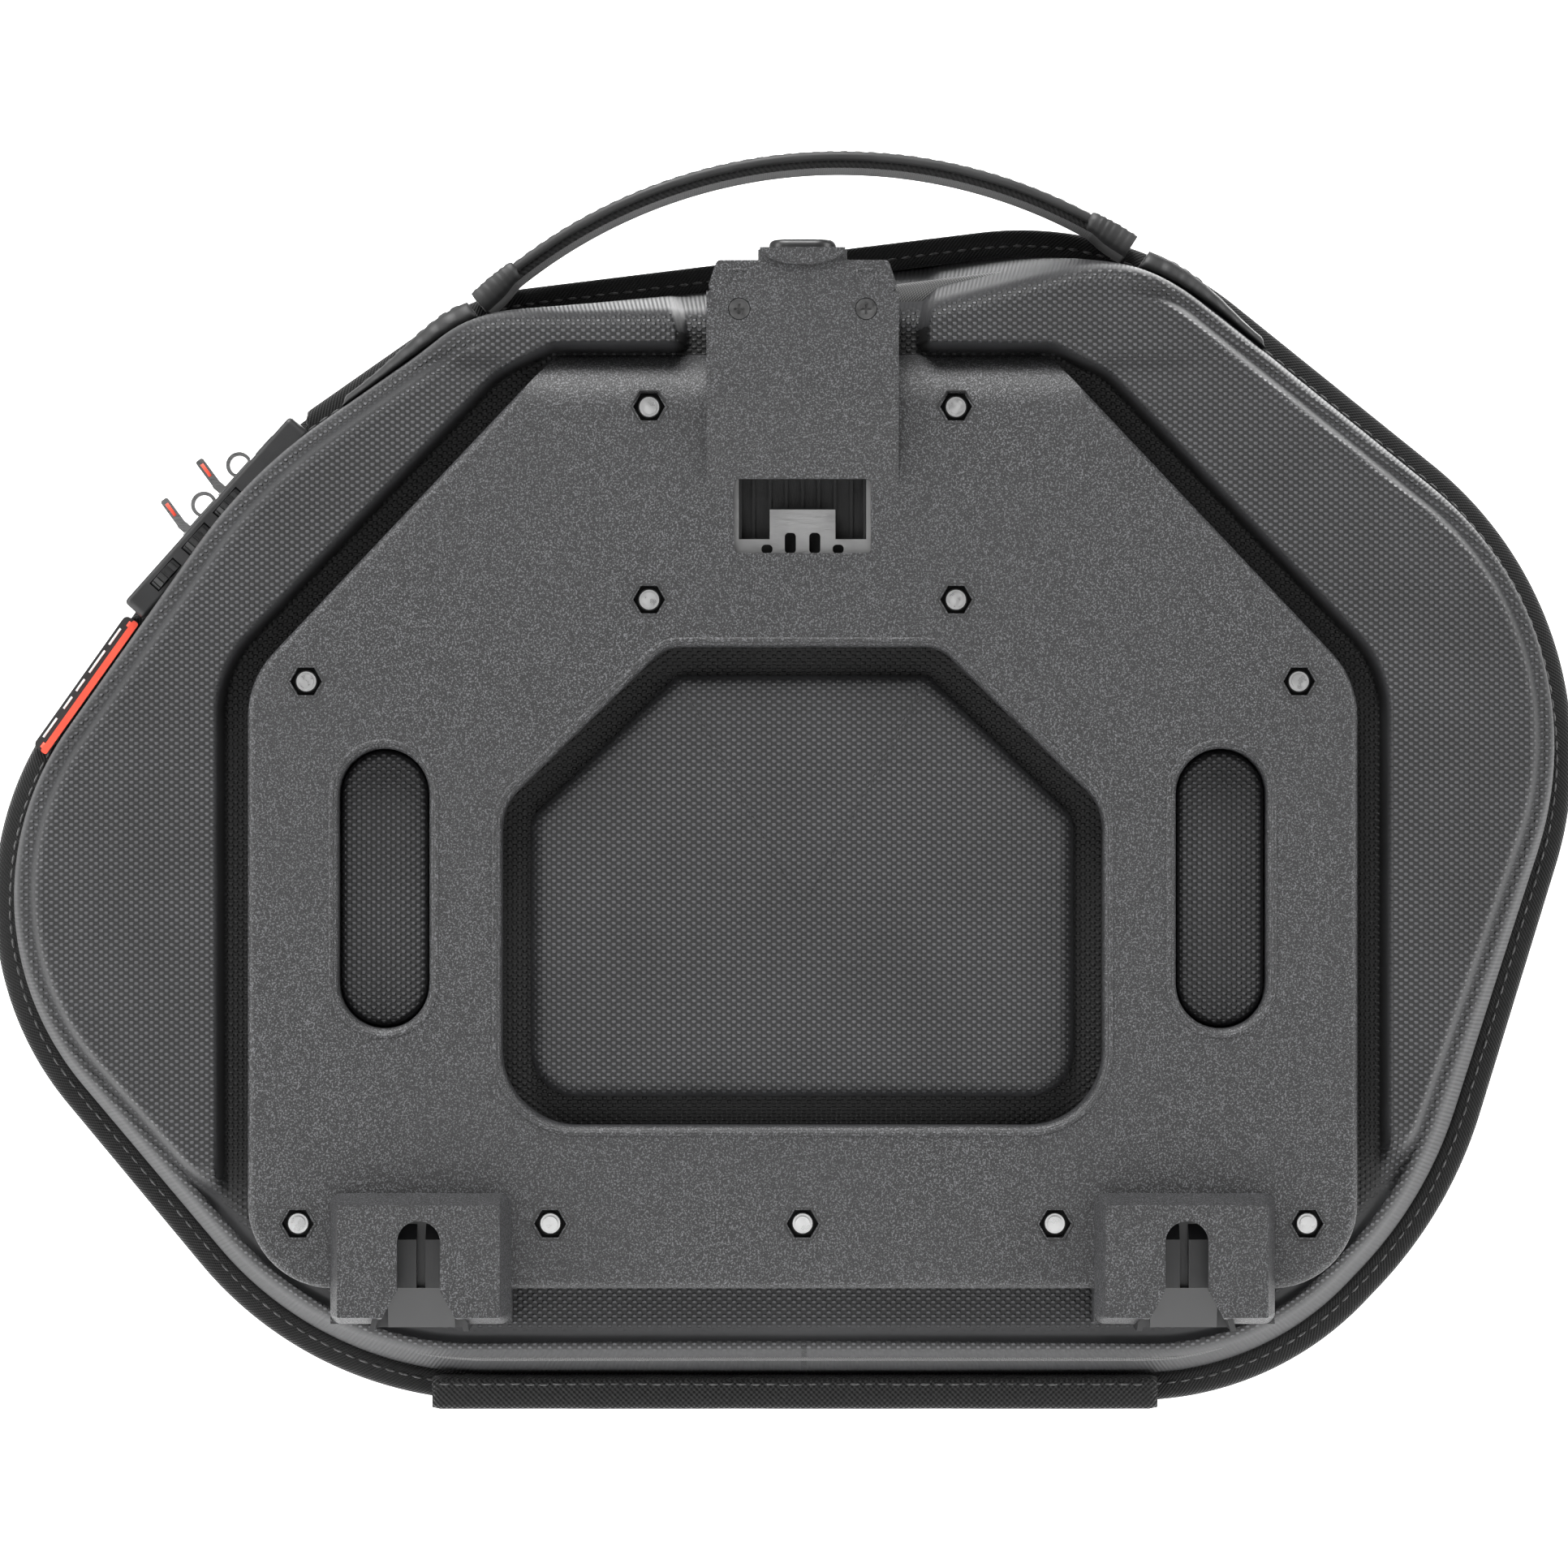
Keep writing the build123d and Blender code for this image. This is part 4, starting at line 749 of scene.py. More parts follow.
# ================================================================ cover shell
def build_cover_shell():
    """The cover: a drafted wall, a wide rounded shoulder, a sewn groove and a raised middle panel."""
    even = evenly(outline, 620) - CENTRE
    angles = from_foot(np.arctan2(even[:, 1], even[:, 0]))
    rim = reach(inset(outline, RIM_INSET), angles)
    face = reach(inset(outline, RIM_INSET + 9.0), angles)
    rings, kinds = [], []

    def keep(radius, depth, what):
        rings.append(on_ray(angles, radius, -depth))
        kinds.append(what)

    keep(40.0, COVER_FACE - 5.0, 0)
    keep(face - 32, COVER_FACE - 5.0, 0)
    keep(face - 14, COVER_FACE - 12.0, 0)
    keep(face - 5, COVER_FACE - 30.0, 0)
    keep(rim - 4.0, RIM_DEPTH + 1.2, 0)
    keep(rim - 3.0, RIM_DEPTH, 0)
    for t in np.linspace(0, 1, 12):
        bow = 1.4 * sin(pi * t)
        keep(rim + (face - rim) * t + bow, RIM_DEPTH + (COVER_FACE - COVER_EDGE - RIM_DEPTH) * t, 1)
    for t in np.linspace(0.08, 1, 12):
        angle = t * pi / 2
        depth = COVER_FACE - 3.0 - (COVER_EDGE - 3.0) * (1 - sin(angle))
        keep(face - COVER_EDGE * (1 - cos(angle)), depth, 2)
    inner = face - COVER_EDGE
    for t in np.linspace(0.1, 1, 10):
        step = 16.0 * t
        groove = 1.6 * np.exp(-((step - 9.0) / 1.3) ** 2)
        keep(inner - step, COVER_FACE - 3.0 - groove + 3.0 * smooth(step, 10.5, 15.5), 3)
    for t in np.linspace(0.08, 0.97, 14):
        keep((inner - 16.0) * (1 - t) + 3.0 * t, COVER_FACE, 4)
    points, faces = lathe(rings)
    # two creases sweep across the middle panel
    x, z = points[:, 0], points[:, 2]
    middle = np.r_[np.repeat(kinds, len(angles)), [0, 4]] == 4
    for level, tilt in ((205.0, 0.16), (118.0, 0.10)):
        line = z - level - tilt * (x - CENTRE[0])
        width = np.where(line < 0, 14.0, 3.0)
        points[:, 1] += middle * 1.5 * np.exp(-(line / width) ** 2)
    piece = mesh_object("shell_front", points, faces, SHELL, rides="cover", slot="shell_textile")
    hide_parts("front_shell")
    kind = np.r_[np.repeat(kinds, len(angles)), [0, 4]]
    around = np.r_[np.tile(run_along(rings[8][:, [0, 2]]), len(rings)), 0, 0]
    pips = np.where(kind >= 3, 1.0, np.where(kind == 2, 0.5, 0.0))
    ribs = np.where(kind == 1, 1.0, 0.0)
    paint(piece, "weave", np.column_stack([x, z, pips]))
    paint(piece, "ribs", np.column_stack([around, ribs, 0 * ribs]))


# ================================================================ bands, stitches and zip
LOCK_CENTRE = np.array([-157.0, 246.2])
LOCK_HALF = 34.5
LOCK_SQUEEZE = 3.9  # how far the band and the zip are pressed in behind the lock


def swept(name, section, material, side, count=900, squeeze=None, **options):
    """A closed section of (inset, depth) points swept round the bag's outline."""
    path = evenly(outline, count)
    normal = inward(path)
    at_lock = 1 - smooth(np.linalg.norm(path - LOCK_CENTRE, axis=1), LOCK_HALF + 0.5, LOCK_HALF + 4.5)
    rings, width = [], []
    run = 0.0
    for k, (amount, depth) in enumerate(section):
        if k:
            run += hypot(amount - section[k - 1][0], depth - section[k - 1][1])
        pressed = amount if squeeze is None else np.maximum(amount, squeeze * at_lock)
        moved = path + normal * np.reshape(np.broadcast_to(pressed, len(path)), (-1, 1))
        rings.append(lifted(moved, side * depth))
        width.append(np.full(len(path), run))
    piece = hoop(name, rings, material, **options)
    length = np.tile(np.linspace(0, perimeter(path), count, endpoint=False), len(rings))
    paint(piece, "weave", np.column_stack([length, np.concatenate(width), 0 * length]))
    return piece


def arc(centre, radius, first, last, count):
    """Section points on an arc, angles in degrees."""
    return [(centre[0] + radius * cos(radians(a)), centre[1] + radius * sin(radians(a)))
            for a in np.linspace(first, last, count)]


def band_section():
    """Folded tape: flat outside, rounded over its free edge and tucked against the shell."""
    section = [(6.3, 3.6), (0.9, 3.5), (0.25, 4.0), (0.0, 5.0), (0.0, 8.0), (0.0, 11.0)]
    section += arc((2.2, 13.6), 2.2, 180, 95, 6)
    section += [(3.4, 15.9), (4.6, 15.75), (5.8, 15.9), (6.9, 15.6), (7.6, 14.8), (7.7, 13.6), (7.0, 9.0)]
    return section


def run_stitches(name, body, path, face, material=None, pitch=3.9, length=2.7, skip=None):
    """A row of sewn stitches along path, an array of (x, depth, z), each lying on the face direction."""
    batch = Batch()
    run = run_along(path)
    for number in range(int(run[-1] // pitch)):
        ends = []
        for at in (number * pitch, number * pitch + length):
            ends.append(np.array([np.interp(at, run, path[:, k]) for k in range(3)]))
        if skip is not None and skip((ends[0] + ends[1]) / 2):
            continue
        up = face(ends[0]) if callable(face) else np.array(face, float)
        jitter = rng.normal(0, 0.06, 3)
        batch.add(*capsule(ends[0] + jitter - up * 0.1, ends[1] + jitter - up * 0.1, 0.62, 0.55, up))
    return batch.piece(name, material or THREAD, rides=body, slot="edge_band")


def build_bands():
    for name, node, body, side in (
        ("band_back", "back_band", "back_case", 1),
        ("band_front", "front_band", "cover", -1),
    ):
        squeeze = LOCK_SQUEEZE if side > 0 else None
        piece = swept(name, band_section(), BAND, side, squeeze=squeeze, rides=body, slot="edge_band")
        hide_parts(node)
        path = inset(evenly(outline, 1000), 4.6)
        path = np.vstack([path, path[:1]])
        run_stitches(f"{name}_stitches", body, lifted(path, side * 16.0), (0, side, 0))


def build_zip():
    """Two halves of a coil zip: a tape that leaves each band, and a row of interlocking teeth."""
    for name, node, body, side in (
        ("zip_back", "zip_chain_back", "back_case", 1),
        ("zip_front", "zip_chain_front", "cover", -1),
    ):
        section = [(2.2, 1.1), (2.0, 2.0), (2.0, 3.7), (3.2, 3.9), (3.4, 2.0), (3.2, 1.1)]
        squeeze = LOCK_SQUEEZE if side > 0 else None
        tape = swept(f"{name}_tape", section, BAND, side, squeeze=squeeze, rides=body, slot="zip_coil")
        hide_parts(node)
        batch = Batch()
        count = int(perimeter(outline) // 2.1)
        path = evenly(outline, count)
        normal = inward(path)
        ahead = np.roll(path, -1, 0) - path
        for i in range(count):
            point = path[i] + normal[i] * 2.8 + ahead[i] * (0.5 if side < 0 else 0.0)
            if -100 < point[0] < 106 and point[1] < 20:
                continue
            if side > 0 and np.linalg.norm(point - LOCK_CENTRE) < LOCK_HALF + 1:
                continue
            out = np.array([-normal[i][0], 0, -normal[i][1]])
            along = unit(np.array([ahead[i][0], 0, ahead[i][1]]))
            centre = np.array([point[0], side * 0.75, point[1]])
            batch.add(*slab(centre, along, np.array([0, side, 0]), out, 1.0, 2.1, 1.7, 0.3))
        batch.piece(f"{name}_teeth", ZIP, rides=body, slot="zip_coil", flat=True)


# ================================================================ hinge pad under the bag
PANEL_LEFT, PANEL_RIGHT, PANEL_DEPTH = -97.0, 103.0, 29.6


def half_section():
    """The hinge pad's section on one side of the hinge, as (depth, z) points: foot, outer face and top."""
    half = [(1.0, 0.0), (2.6, 0.0), (4.4, 0.0), (8.0, 0.05), (14.0, 0.05), (20.0, 0.05), (26.0, 0.1)]
    half += arc((PANEL_DEPTH - 1.6, 1.7), 1.6, -80, 0, 5)
    half += [(PANEL_DEPTH + 0.1, 4.0), (PANEL_DEPTH, 6.0)]
    half += arc((PANEL_DEPTH - 1.4, 7.4), 1.4, 0, 85, 5)
    half += [(26.0, 9.1), (22.0, 9.0), (18.6, 8.8), (17.4, 8.0), (17.0, 6.0), (16.9, 3.0), (16.4, 1.3)]
    half += [(14.0, 1.12), (8.0, 1.1), (4.4, 1.1), (2.6, 1.1), (1.0, 1.1)]
    return half


def hinge_pad():
    """One nylon piece: a stuffed roll under each shell and a thin web across the hinge between them."""
    across = np.linspace(PANEL_LEFT, PANEL_RIGHT, 90)
    half = half_section()
    loop = np.array(half + [(-d, z) for d, z in half[::-1]])
    run = run_along(loop)
    count = len(loop)
    points, painted = [], []
    for x in across:
        from_end = min(x - PANEL_LEFT, PANEL_RIGHT - x)
        tuck = 0.45 * max(0.0, 1 - from_end / 1.5) ** 2
        sag = 0.16 * sin(x / 9.0) + 0.10 * sin(x / 4.3 + 1)
        ring = loop.copy()
        outer = smooth(np.abs(ring[:, 0]), 24, 29)
        ring[:, 0] += (sag - tuck) * outer * np.sign(ring[:, 0])
        ring[:, 1] += np.where(ring[:, 1] > 5, -tuck, tuck * (np.abs(ring[:, 0]) > 14))
        points.append(np.column_stack([np.full(count, x), ring[:, 0], ring[:, 1]]))
        painted.append(np.column_stack([np.full(count, x), run, np.zeros(count)]))
    faces = grid_faces(len(across), count)
    last = (len(across) - 1) * count
    half_count = len(half)
    top_in = half_count - 6  # the first top point of the thin web
    for base in (0, last):
        # the roll's end, as one face on each side, and the web's end between them
        near = [base + k for k in range(5, top_in + 1)]
        far = [base + count - 1 - k for k in range(5, top_in + 1)]
        faces += [near, far]
        pairs = [(4 + 1 - k, top_in + k) for k in range(0, 6)]
        for (a, b), (c, d) in zip(pairs, pairs[1:]):
            faces.append([base + k for k in (a, b, d, c)])
            faces.append([base + count - 1 - k for k in (a, b, d, c)])
        faces.append([base, base + half_count - 1, base + half_count, base + count - 1])
    piece = mesh_object("hinge_pad", np.vstack(points), faces, NYLON, slot="hinge_fabric")
    paint(piece, "weave", np.vstack(painted))
    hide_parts("hinge_panel_back", "hinge_panel_front")
    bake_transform(piece)
    for side, body in ((1, "back_case"), (-1, "cover")):
        xs = np.linspace(PANEL_LEFT + 2, PANEL_RIGHT - 2, 60)
        row = lifted(np.column_stack([xs, np.full(60, 7.1)]), side * (PANEL_DEPTH + 0.15))
        run_stitches(f"hinge_pad_stitches_{'back' if side > 0 else 'front'}", body, row, (0, side, 0))


# ================================================================ carry handle
HANDLE_LEFT, HANDLE_CROWN, HANDLE_RIGHT = (-83.0, 307.5), (7.0, 345.5), (94.1, 322.7)
HANDLE_DEPTH = 30.0
STRAP_HALF, STRAP_THICK = 13.0, 2.7  # the grip's rubber strap
WEB_HALF = 12.2  # the webbing under it
STRAP_SEAM = 10.6  # rows of stitches, from the strap's middle


def circle_through(a, b, c):
    """Centre and radius of the circle through three points."""
    (ax, ay), (bx, by), (cx, cy) = a, b, c
    d = 2 * (ax * (by - cy) + bx * (cy - ay) + cx * (ay - by))
    ux = ((ax**2 + ay**2) * (by - cy) + (bx**2 + by**2) * (cy - ay) + (cx**2 + cy**2) * (ay - by)) / d
    uy = ((ax**2 + ay**2) * (cx - bx) + (bx**2 + by**2) * (ax - cx) + (cx**2 + cy**2) * (bx - ax)) / d
    return np.array([ux, uy]), hypot(ax - ux, ay - uy)


def handle_path(count=150):
    """The strap's outer arc and its tangent ends, as (X, Z) points, with the outward normals."""
    centre, radius = circle_through(HANDLE_LEFT, HANDLE_CROWN, HANDLE_RIGHT)
    first = atan2(HANDLE_LEFT[1] - centre[1], HANDLE_LEFT[0] - centre[0])
    last = atan2(HANDLE_RIGHT[1] - centre[1], HANDLE_RIGHT[0] - centre[0])
    angles = np.linspace(first, last, count)
    normals = np.column_stack([np.cos(angles), np.sin(angles)])
    return centre + radius * normals, normals


def closed_strap(name, rings, along, section, material, **options):
    """A strap from the rings of its section, closed at both ends and painted with its two ways."""
    run = run_along(section)
    points, faces = lathe(rings)
    piece = mesh_object(name, points, faces, material, **options)
    painted = [np.column_stack([np.full(len(run), at), run, 0 * run]) for at in along]
    paint(piece, "weave", np.vstack(painted + [np.zeros((2, 3))]))
    return piece


def strap_sweep(name, points, normals, section, material, slot):
    """A strap swept along (X, Z) points; its section is (across, in from the outer face) points."""
    section = np.array(section)
    rings = [lifted(point - normal * section[:, 1:2], HANDLE_DEPTH + section[:, 0])
             for point, normal in zip(points, normals)]
    return closed_strap(name, rings, run_along(points), section, material, slot=slot)


def build_handle():
    points, normals = handle_path()
    half, thick, inner = STRAP_HALF, STRAP_THICK, WEB_HALF
    rubber_section = [(-half, thick), (-half, 1.2)] + arc((-half + 1.2, 1.2), 1.2, 180, 270, 5)
    rubber_section += [(x, 0.0) for x in np.linspace(-half + 2.4, half - 2.4, 9)]
    rubber_section += arc((half - 1.2, 1.2), 1.2, 270, 360, 5) + [(half, thick)]
    rubber_section += [(x, thick - 0.2) for x in np.linspace(half - 1.0, 1.0 - half, 7)]
    strap = strap_sweep("strap_rubber", points, normals, rubber_section, RUBBER, "handle_rubber")
    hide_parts("handle_grip", "handle_tail_left", "handle_tail_right")
    web_section = [(-inner, thick - 0.2), (-inner - 0.2, thick + 0.7), (-inner, thick + 1.7)]
    web_section += [(x, thick + 1.8) for x in np.linspace(-inner + 1, inner - 1, 9)]
    web_section += [(inner, thick + 1.7), (inner + 0.2, thick + 0.7), (inner, thick - 0.2)]
    web_section += [(x, thick - 0.25) for x in np.linspace(inner - 1, 1 - inner, 7)]
    webbing = strap_sweep("strap_webbing", points, normals, web_section, WEBBING, "webbing")
    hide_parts("handle_webbing")
    # raised grip bars across the outer face, and rows of stitches near both edges
    bars = Batch()
    middle = len(points) // 2
    for step in range(-26, 27, 2):
        i = middle + step
        ahead = unit(points[i + 1] - points[i - 1])
        normal = np.array([normals[i][0], 0, normals[i][1]])
        along = np.array([ahead[0], 0, ahead[1]])
        centre = np.array([points[i][0], HANDLE_DEPTH, points[i][1]]) + normal * 0.1
        bars.add(*slab(centre, along, np.array([0, 1.0, 0]), normal, 1.1, 15.0, 0.7, 0.25))
    bars = bars.piece("strap_grip_bars", RUBBER, slot="handle_rubber")
    pieces = [strap, webbing, bars]
    for side in (-1, 1):
        batch = Batch()
        for i in range(3, len(points) - 4, 3):
            normal = np.array([normals[i][0], 0, normals[i][1]])
            seam = HANDLE_DEPTH + side * STRAP_SEAM
            ends = [np.array([points[j][0], seam, points[j][1]]) for j in (i, i + 2)]
            batch.add(*capsule(ends[0] + normal * 0.05, ends[1] + normal * 0.05, 0.6, 0.5, normal))
        name = "strap_stitches_back" if side < 0 else "strap_stitches_front"
        pieces.append(batch.piece(name, THREAD, slot="webbing"))
    # the strap's pieces are baked into place and ride no body
    for piece in pieces:
        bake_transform(piece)


def build_anchor(name, node, side):
    """A rubber sleeve on a strap's end: a tapering tongue with scalloped edges, sewn to the shell's wall."""
    path = inset(evenly(outline, 1400), RIM_INSET + 0.2)
    normal = inward(path)
    centre_x = {-1: -83.5, 1: 97.0}[side]
    end_x = {-1: -121.5, 1: 132.5}[side]
    low, high = sorted((centre_x, end_x))
    chosen = (path[:, 0] > low) & (path[:, 0] < high) & (path[:, 1] > 220)
    run, out = path[chosen], -normal[chosen]
    if side < 0:
        run, out = run[::-1], out[::-1]
    length = run_along(run)
    total = length[-1]
    rings = []
    for point, outward, at in zip(run, out, length):
        t = at / total
        half = 14.2 - 3.6 * smooth(t, 0.2, 1.0)
        scallop = 0.55 * abs(sin(pi * at / 5.2)) * (1 - smooth(t, 0.8, 0.95))
        high = (4.9 - 2.9 * smooth(t, 0.1, 0.9)) * (1 - 0.85 * smooth(t, 0.94, 1.0))
        grow = 1 - 0.9 * (1 - smooth(t, -0.01, 0.02))
        edge = half + scallop
        section = [(-edge, 0.0), (-edge, high * 0.35), (-edge + 1.0, high * 0.75), (-edge + 2.4, high * 0.96)]
        section += [(x, high) for x in np.linspace(-edge + 4, edge - 4, 7)]
        section += [(edge - 2.4, high * 0.96), (edge - 1.0, high * 0.75), (edge, high * 0.35), (edge, 0.0)]
        section = np.array(section)
        rings.append(lifted(point + outward * section[:, 1:2] * grow, HANDLE_DEPTH + section[:, 0]))
    points, faces = lathe(rings)
    piece = mesh_object(name, points, faces, RUBBER, rides="back_case", slot="handle_rubber")
    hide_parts(node)
    for row in (-1, 1):
        at = [HANDLE_DEPTH + row * (STRAP_SEAM - 2.6 * smooth(t, 0.2, 1.0)) for t in length / total]
        lift = [(4.9 - 2.9 * smooth(t, 0.1, 0.9)) + 0.05 for t in length / total]
        line = np.column_stack([run[:, 0] + out[:, 0] * lift, at, run[:, 1] + out[:, 1] * lift])
        keep = (length > 3) & (length < total * 0.9)
        middle_out = out[len(out) // 2]
        face = (middle_out[0], 0, middle_out[1])
        run_stitches(f"{name}_stitches_{'a' if row < 0 else 'b'}", "back_case", line[keep], face)


def build_collar(name, side):
    """The sleeve's thick rubber mouth, wrapped round the end of the strap."""
    points, normals = handle_path(count=300)
    if side > 0:
        points, normals = points[::-1], normals[::-1]
    run = run_along(points)
    rings = []
    for at in np.linspace(-2.5, 11.0, 20):
        i = int(np.searchsorted(run, max(at, 0.0)))
        ahead = unit(points[1] - points[0])
        point = points[i] + (ahead * at if at < 0 else 0)
        normal = normals[i]
        taper = 1 - 0.22 * smooth(at, 2, 11) - 0.35 * smooth(at, 10.2, 11.0)
        rib = 0.25 * sin(pi * at / 2.2) ** 2 * (1 - smooth(at, 9.5, 10.5))
        half = 13.8 * (1 - 0.04 * smooth(at, 9, 11)) + rib
        low, high = 5.5 * taper, 1.1 * taper + rib
        section = [(-half, -low * 0.7), (-half, high * 0.4), (-half + 1.1, high)]
        section += [(x, high) for x in np.linspace(-half + 3, half - 3, 7)]
        section += [(half - 1.1, high), (half, high * 0.4), (half, -low * 0.7), (half - 1.2, -low)]
        section += [(x, -low) for x in np.linspace(half - 3, 3 - half, 7)]
        section += [(1.2 - half, -low)]
        section = np.array(section)
        rings.append(lifted(point + normal * section[:, 1:2], HANDLE_DEPTH + section[:, 0]))
    points, faces = lathe(rings)
    mesh_object(name, points, faces, RUBBER, rides="back_case", slot="handle_rubber")


def build_liner(name, node, body, side, amount, near, far, edge):
    """A cloth cup glued inside one shell, with a sewn roll round its mouth."""
    path = inset(evenly(outline, 520), amount)
    angles = from_foot(np.arctan2(path[:, 1] - CENTRE[1], path[:, 0] - CENTRE[0]))
    wall = reach(path, angles)
    rings, run, along = [], 0.0, []
    profile = [(0.0, depth) for depth in np.linspace(near, far - edge, 7)]
    profile += [(edge * (1 - cos(a)), far - edge + edge * sin(a)) for a in np.linspace(0.15, pi / 2, 8)]
    for k, (step, depth) in enumerate(profile):
        run += hypot(step - profile[k - 1][0], depth - profile[k - 1][1]) if k else 0
        rings.append(on_ray(angles, wall - step, side * depth))
        along.append(np.column_stack([np.cos(angles) * (run + 200), np.sin(angles) * (run + 200)]))
    for share in np.linspace(0.93, 0.03, 14):
        ripple = 0.25 * np.sin(angles * 5 + share * 9) * share
        rings.append(on_ray(angles, (wall - edge) * share, side * (far - 0.25) + side * ripple * 0.5))
        along.append(rings[-1][:, [0, 2]])
    points = np.vstack(rings)
    faces = grid_faces(len(rings), len(angles))
    faces.append([(len(rings) - 1) * len(angles) + c for c in range(len(angles))])
    piece = mesh_object(name, points, faces, LINING, rides=body, slot="lining")
    flat_place = np.vstack(along)
    paint(piece, "weave", np.column_stack([flat_place, 0 * flat_place[:, 0]]))
    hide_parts(node)
    roll = [(amount + 0.9 + 0.9 * cos(a), near + 0.7 + 0.9 * sin(a)) for a in np.linspace(0, 2 * pi, 9)[:-1]]
    swept(f"{name}_roll", roll, BAND, side, count=520, rides=body, slot="lining")


def unsmooth(share):
    """The position at which an even ease has reached this share."""
    grid = np.linspace(0, 1, 2001)
    return np.interp(share, grid * grid * (3 - 2 * grid), grid)


def build_gusset(name, node, side):
    """A pleated cloth fan between the two shells, built folded flat as when the cover is shut."""
    path = inset(evenly(outline, 1400), 12.2)
    normal = inward(path)
    chosen = (path[:, 0] * side > 40) & (path[:, 1] > 15) & (path[:, 1] < 205)
    line, inner = path[chosen][::6], normal[chosen][::6]
    order = np.argsort(line[:, 1])
    line, inner = line[order], inner[order]
    # even creases stay at the shells' edges and odd ones reach in, deeper the further from the hinge
    creases = 33
    height = line[:, 1:2]
    fold = 0.105 * height
    rings, painted = [], []
    for k in range(creases):
        depth = 4.3 - 8.6 * unsmooth(k / (creases - 1))
        reach_in = (k % 2) * fold * (1 - 0.15 * smooth(height, 185, 205))
        rings.append(lifted(line + inner * reach_in, depth))
        painted.append(np.column_stack([height, k * fold, 0 * height]))
    faces = grid_faces(creases, len(line), round_columns=False)
    piece = mesh_object(name, np.vstack(rings), faces, LINING, slot="lining")
    paint(piece, "weave", np.vstack(painted))
    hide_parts(node)
    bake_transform(piece)


STRAP_Z, STRAP_Y = 140.0, -51.0


def build_strap(name, node, low, high):
    """A webbing luggage strap across the back half, with a sewn box at its outer end."""
    xs = np.linspace(low, high, 60)
    half = 12.4
    section = [(-half, -0.7), (-half - 0.2, 0.0), (-half, 0.7)]
    section += [(z, 0.75) for z in np.linspace(-half + 1, half - 1, 9)]
    section += [(half, 0.7), (half + 0.2, 0.0), (half, -0.7)]
    section += [(z, -0.75) for z in np.linspace(half - 1, 1 - half, 9)]
    section = np.array(section)
    rings = []
    for x in xs:
        lift = 0.05 * sin(x / 11.0)
        flat = np.column_stack([np.full(len(section), x), STRAP_Z + section[:, 0]])
        rings.append(lifted(flat, -STRAP_Y - lift - section[:, 1]))
    piece = closed_strap(name, rings, xs, section, WEBBING, rides="back_case", slot="webbing")
    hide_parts(node)
    end = low if abs(low) > abs(high) else high
    turn = 1 if end == low else -1
    corners = [(3, -9), (3, 9), (21, 9), (21, -9), (3, -9), (21, 9), (3, 9), (21, -9)]
    line = [(end + turn * x, -STRAP_Y - 0.85, STRAP_Z + z) for x, z in corners]
    dense = np.vstack([np.linspace(a, b, 12, endpoint=False) for a, b in zip(line, line[1:])] + [line[-1:]])
    run_stitches(f"{name}_stitches", "back_case", dense, (0, -1, 0), pitch=2.6, length=1.9)


POCKET = (-105.0, 115.0, 60.0, 190.0)
POCKET_Y = 80.3


def net_finish():
    """Knitted net: round holes between yarns, with a slight sheen."""
    f = Finish("mesh", rough=0.7, specular=0.3, sheen=0.3)
    u, v, _ = f.painted("weave")
    holes = f.math("MULTIPLY", f.wave(u, 4.2), f.wave(v, 4.2))
    yarn = f.remap(f.math("ABSOLUTE", holes), 0.10, 0.26, 1.0, 0.0)
    lint = f.noise(300.0, 3.0)
    f.colour(f.mix(lint, grey(0.010), grey(0.022)))
    f.put(f.shader.inputs["Alpha"], yarn)
    f.normal(f.bump(holes, 0.15, 0.6))
    return f.material


def build_pocket():
    """A net pocket on the cover's lining with a bound edge and a zip along its top."""
    x0, x1, z0, z1 = POCKET
    columns, rows = 56, 34
    points, painted = [], []
    for z in np.linspace(z0 - 1.0, z1 + 1.0, rows):
        for x in np.linspace(x0 - 1.0, x1 + 1.0, columns):
            edge = min(x - x0, x1 - x, z - z0, z1 - z)
            belly = 0.9 * smooth(edge, -1, 26) + 0.12 * sin(x / 7.0) * sin(z / 9.0)
            points.append((x, -(POCKET_Y - 1.9 - belly), z))
            painted.append((x, z, 0.0))
    net = mesh_object("net_pocket", points, grid_faces(rows, columns, round_columns=False), net_finish(),
                      rides="cover", slot="mesh")
    paint(net, "weave", painted)
    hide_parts("mesh_pocket")
    left, right, foot, head = x0 - 6, x1 + 6, z0 - 6, z1 + 8
    outer = rounded([(left, foot), (left, head), (right, head), (right, foot)], [12] * 4, count=420)
    inner = evenly(rounded([(x0, z0), (x0, z1), (x1, z1), (x1, z0)], [1.5] * 4, count=420), 420)
    start = int(np.argmin(np.linalg.norm(inner - outer[0], axis=1)))
    inner = np.roll(inner, -start, 0)
    rise = [(0.0, 0.1), (0.0, 2.2), (0.06, 3.0), (0.18, 3.3)]
    rise += [(0.5, 3.35)] + [(1 - share, lift) for share, lift in rise[::-1]]
    rings = [lifted(outer + (inner - outer) * share, lift - POCKET_Y) for share, lift in rise]
    edge = hoop("pocket_edge", rings, BAND, rides="cover", slot="edge_band")
    around = np.tile(np.linspace(0, perimeter(outer), 420, endpoint=False), len(rings))
    paint(edge, "weave", np.column_stack([around, np.repeat(np.arange(len(rings)), 420) * 0.9, 0 * around]))
    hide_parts("pocket_binding")
    middle = outer + (inner - outer) * 0.72
    middle = np.vstack([middle, middle[:1]])
    row = lifted(middle, 3.38 - POCKET_Y)
    run_stitches("pocket_stitches", "cover", row, (0, 1, 0), pitch=3.2, length=2.2,
                 skip=lambda at: at[2] > z1 and x0 + 5 < at[0] < x1 - 5)


# ================================================================ small marks
LOCK_TURN = radians(48.3)
TAB_LEAN = radians(12)


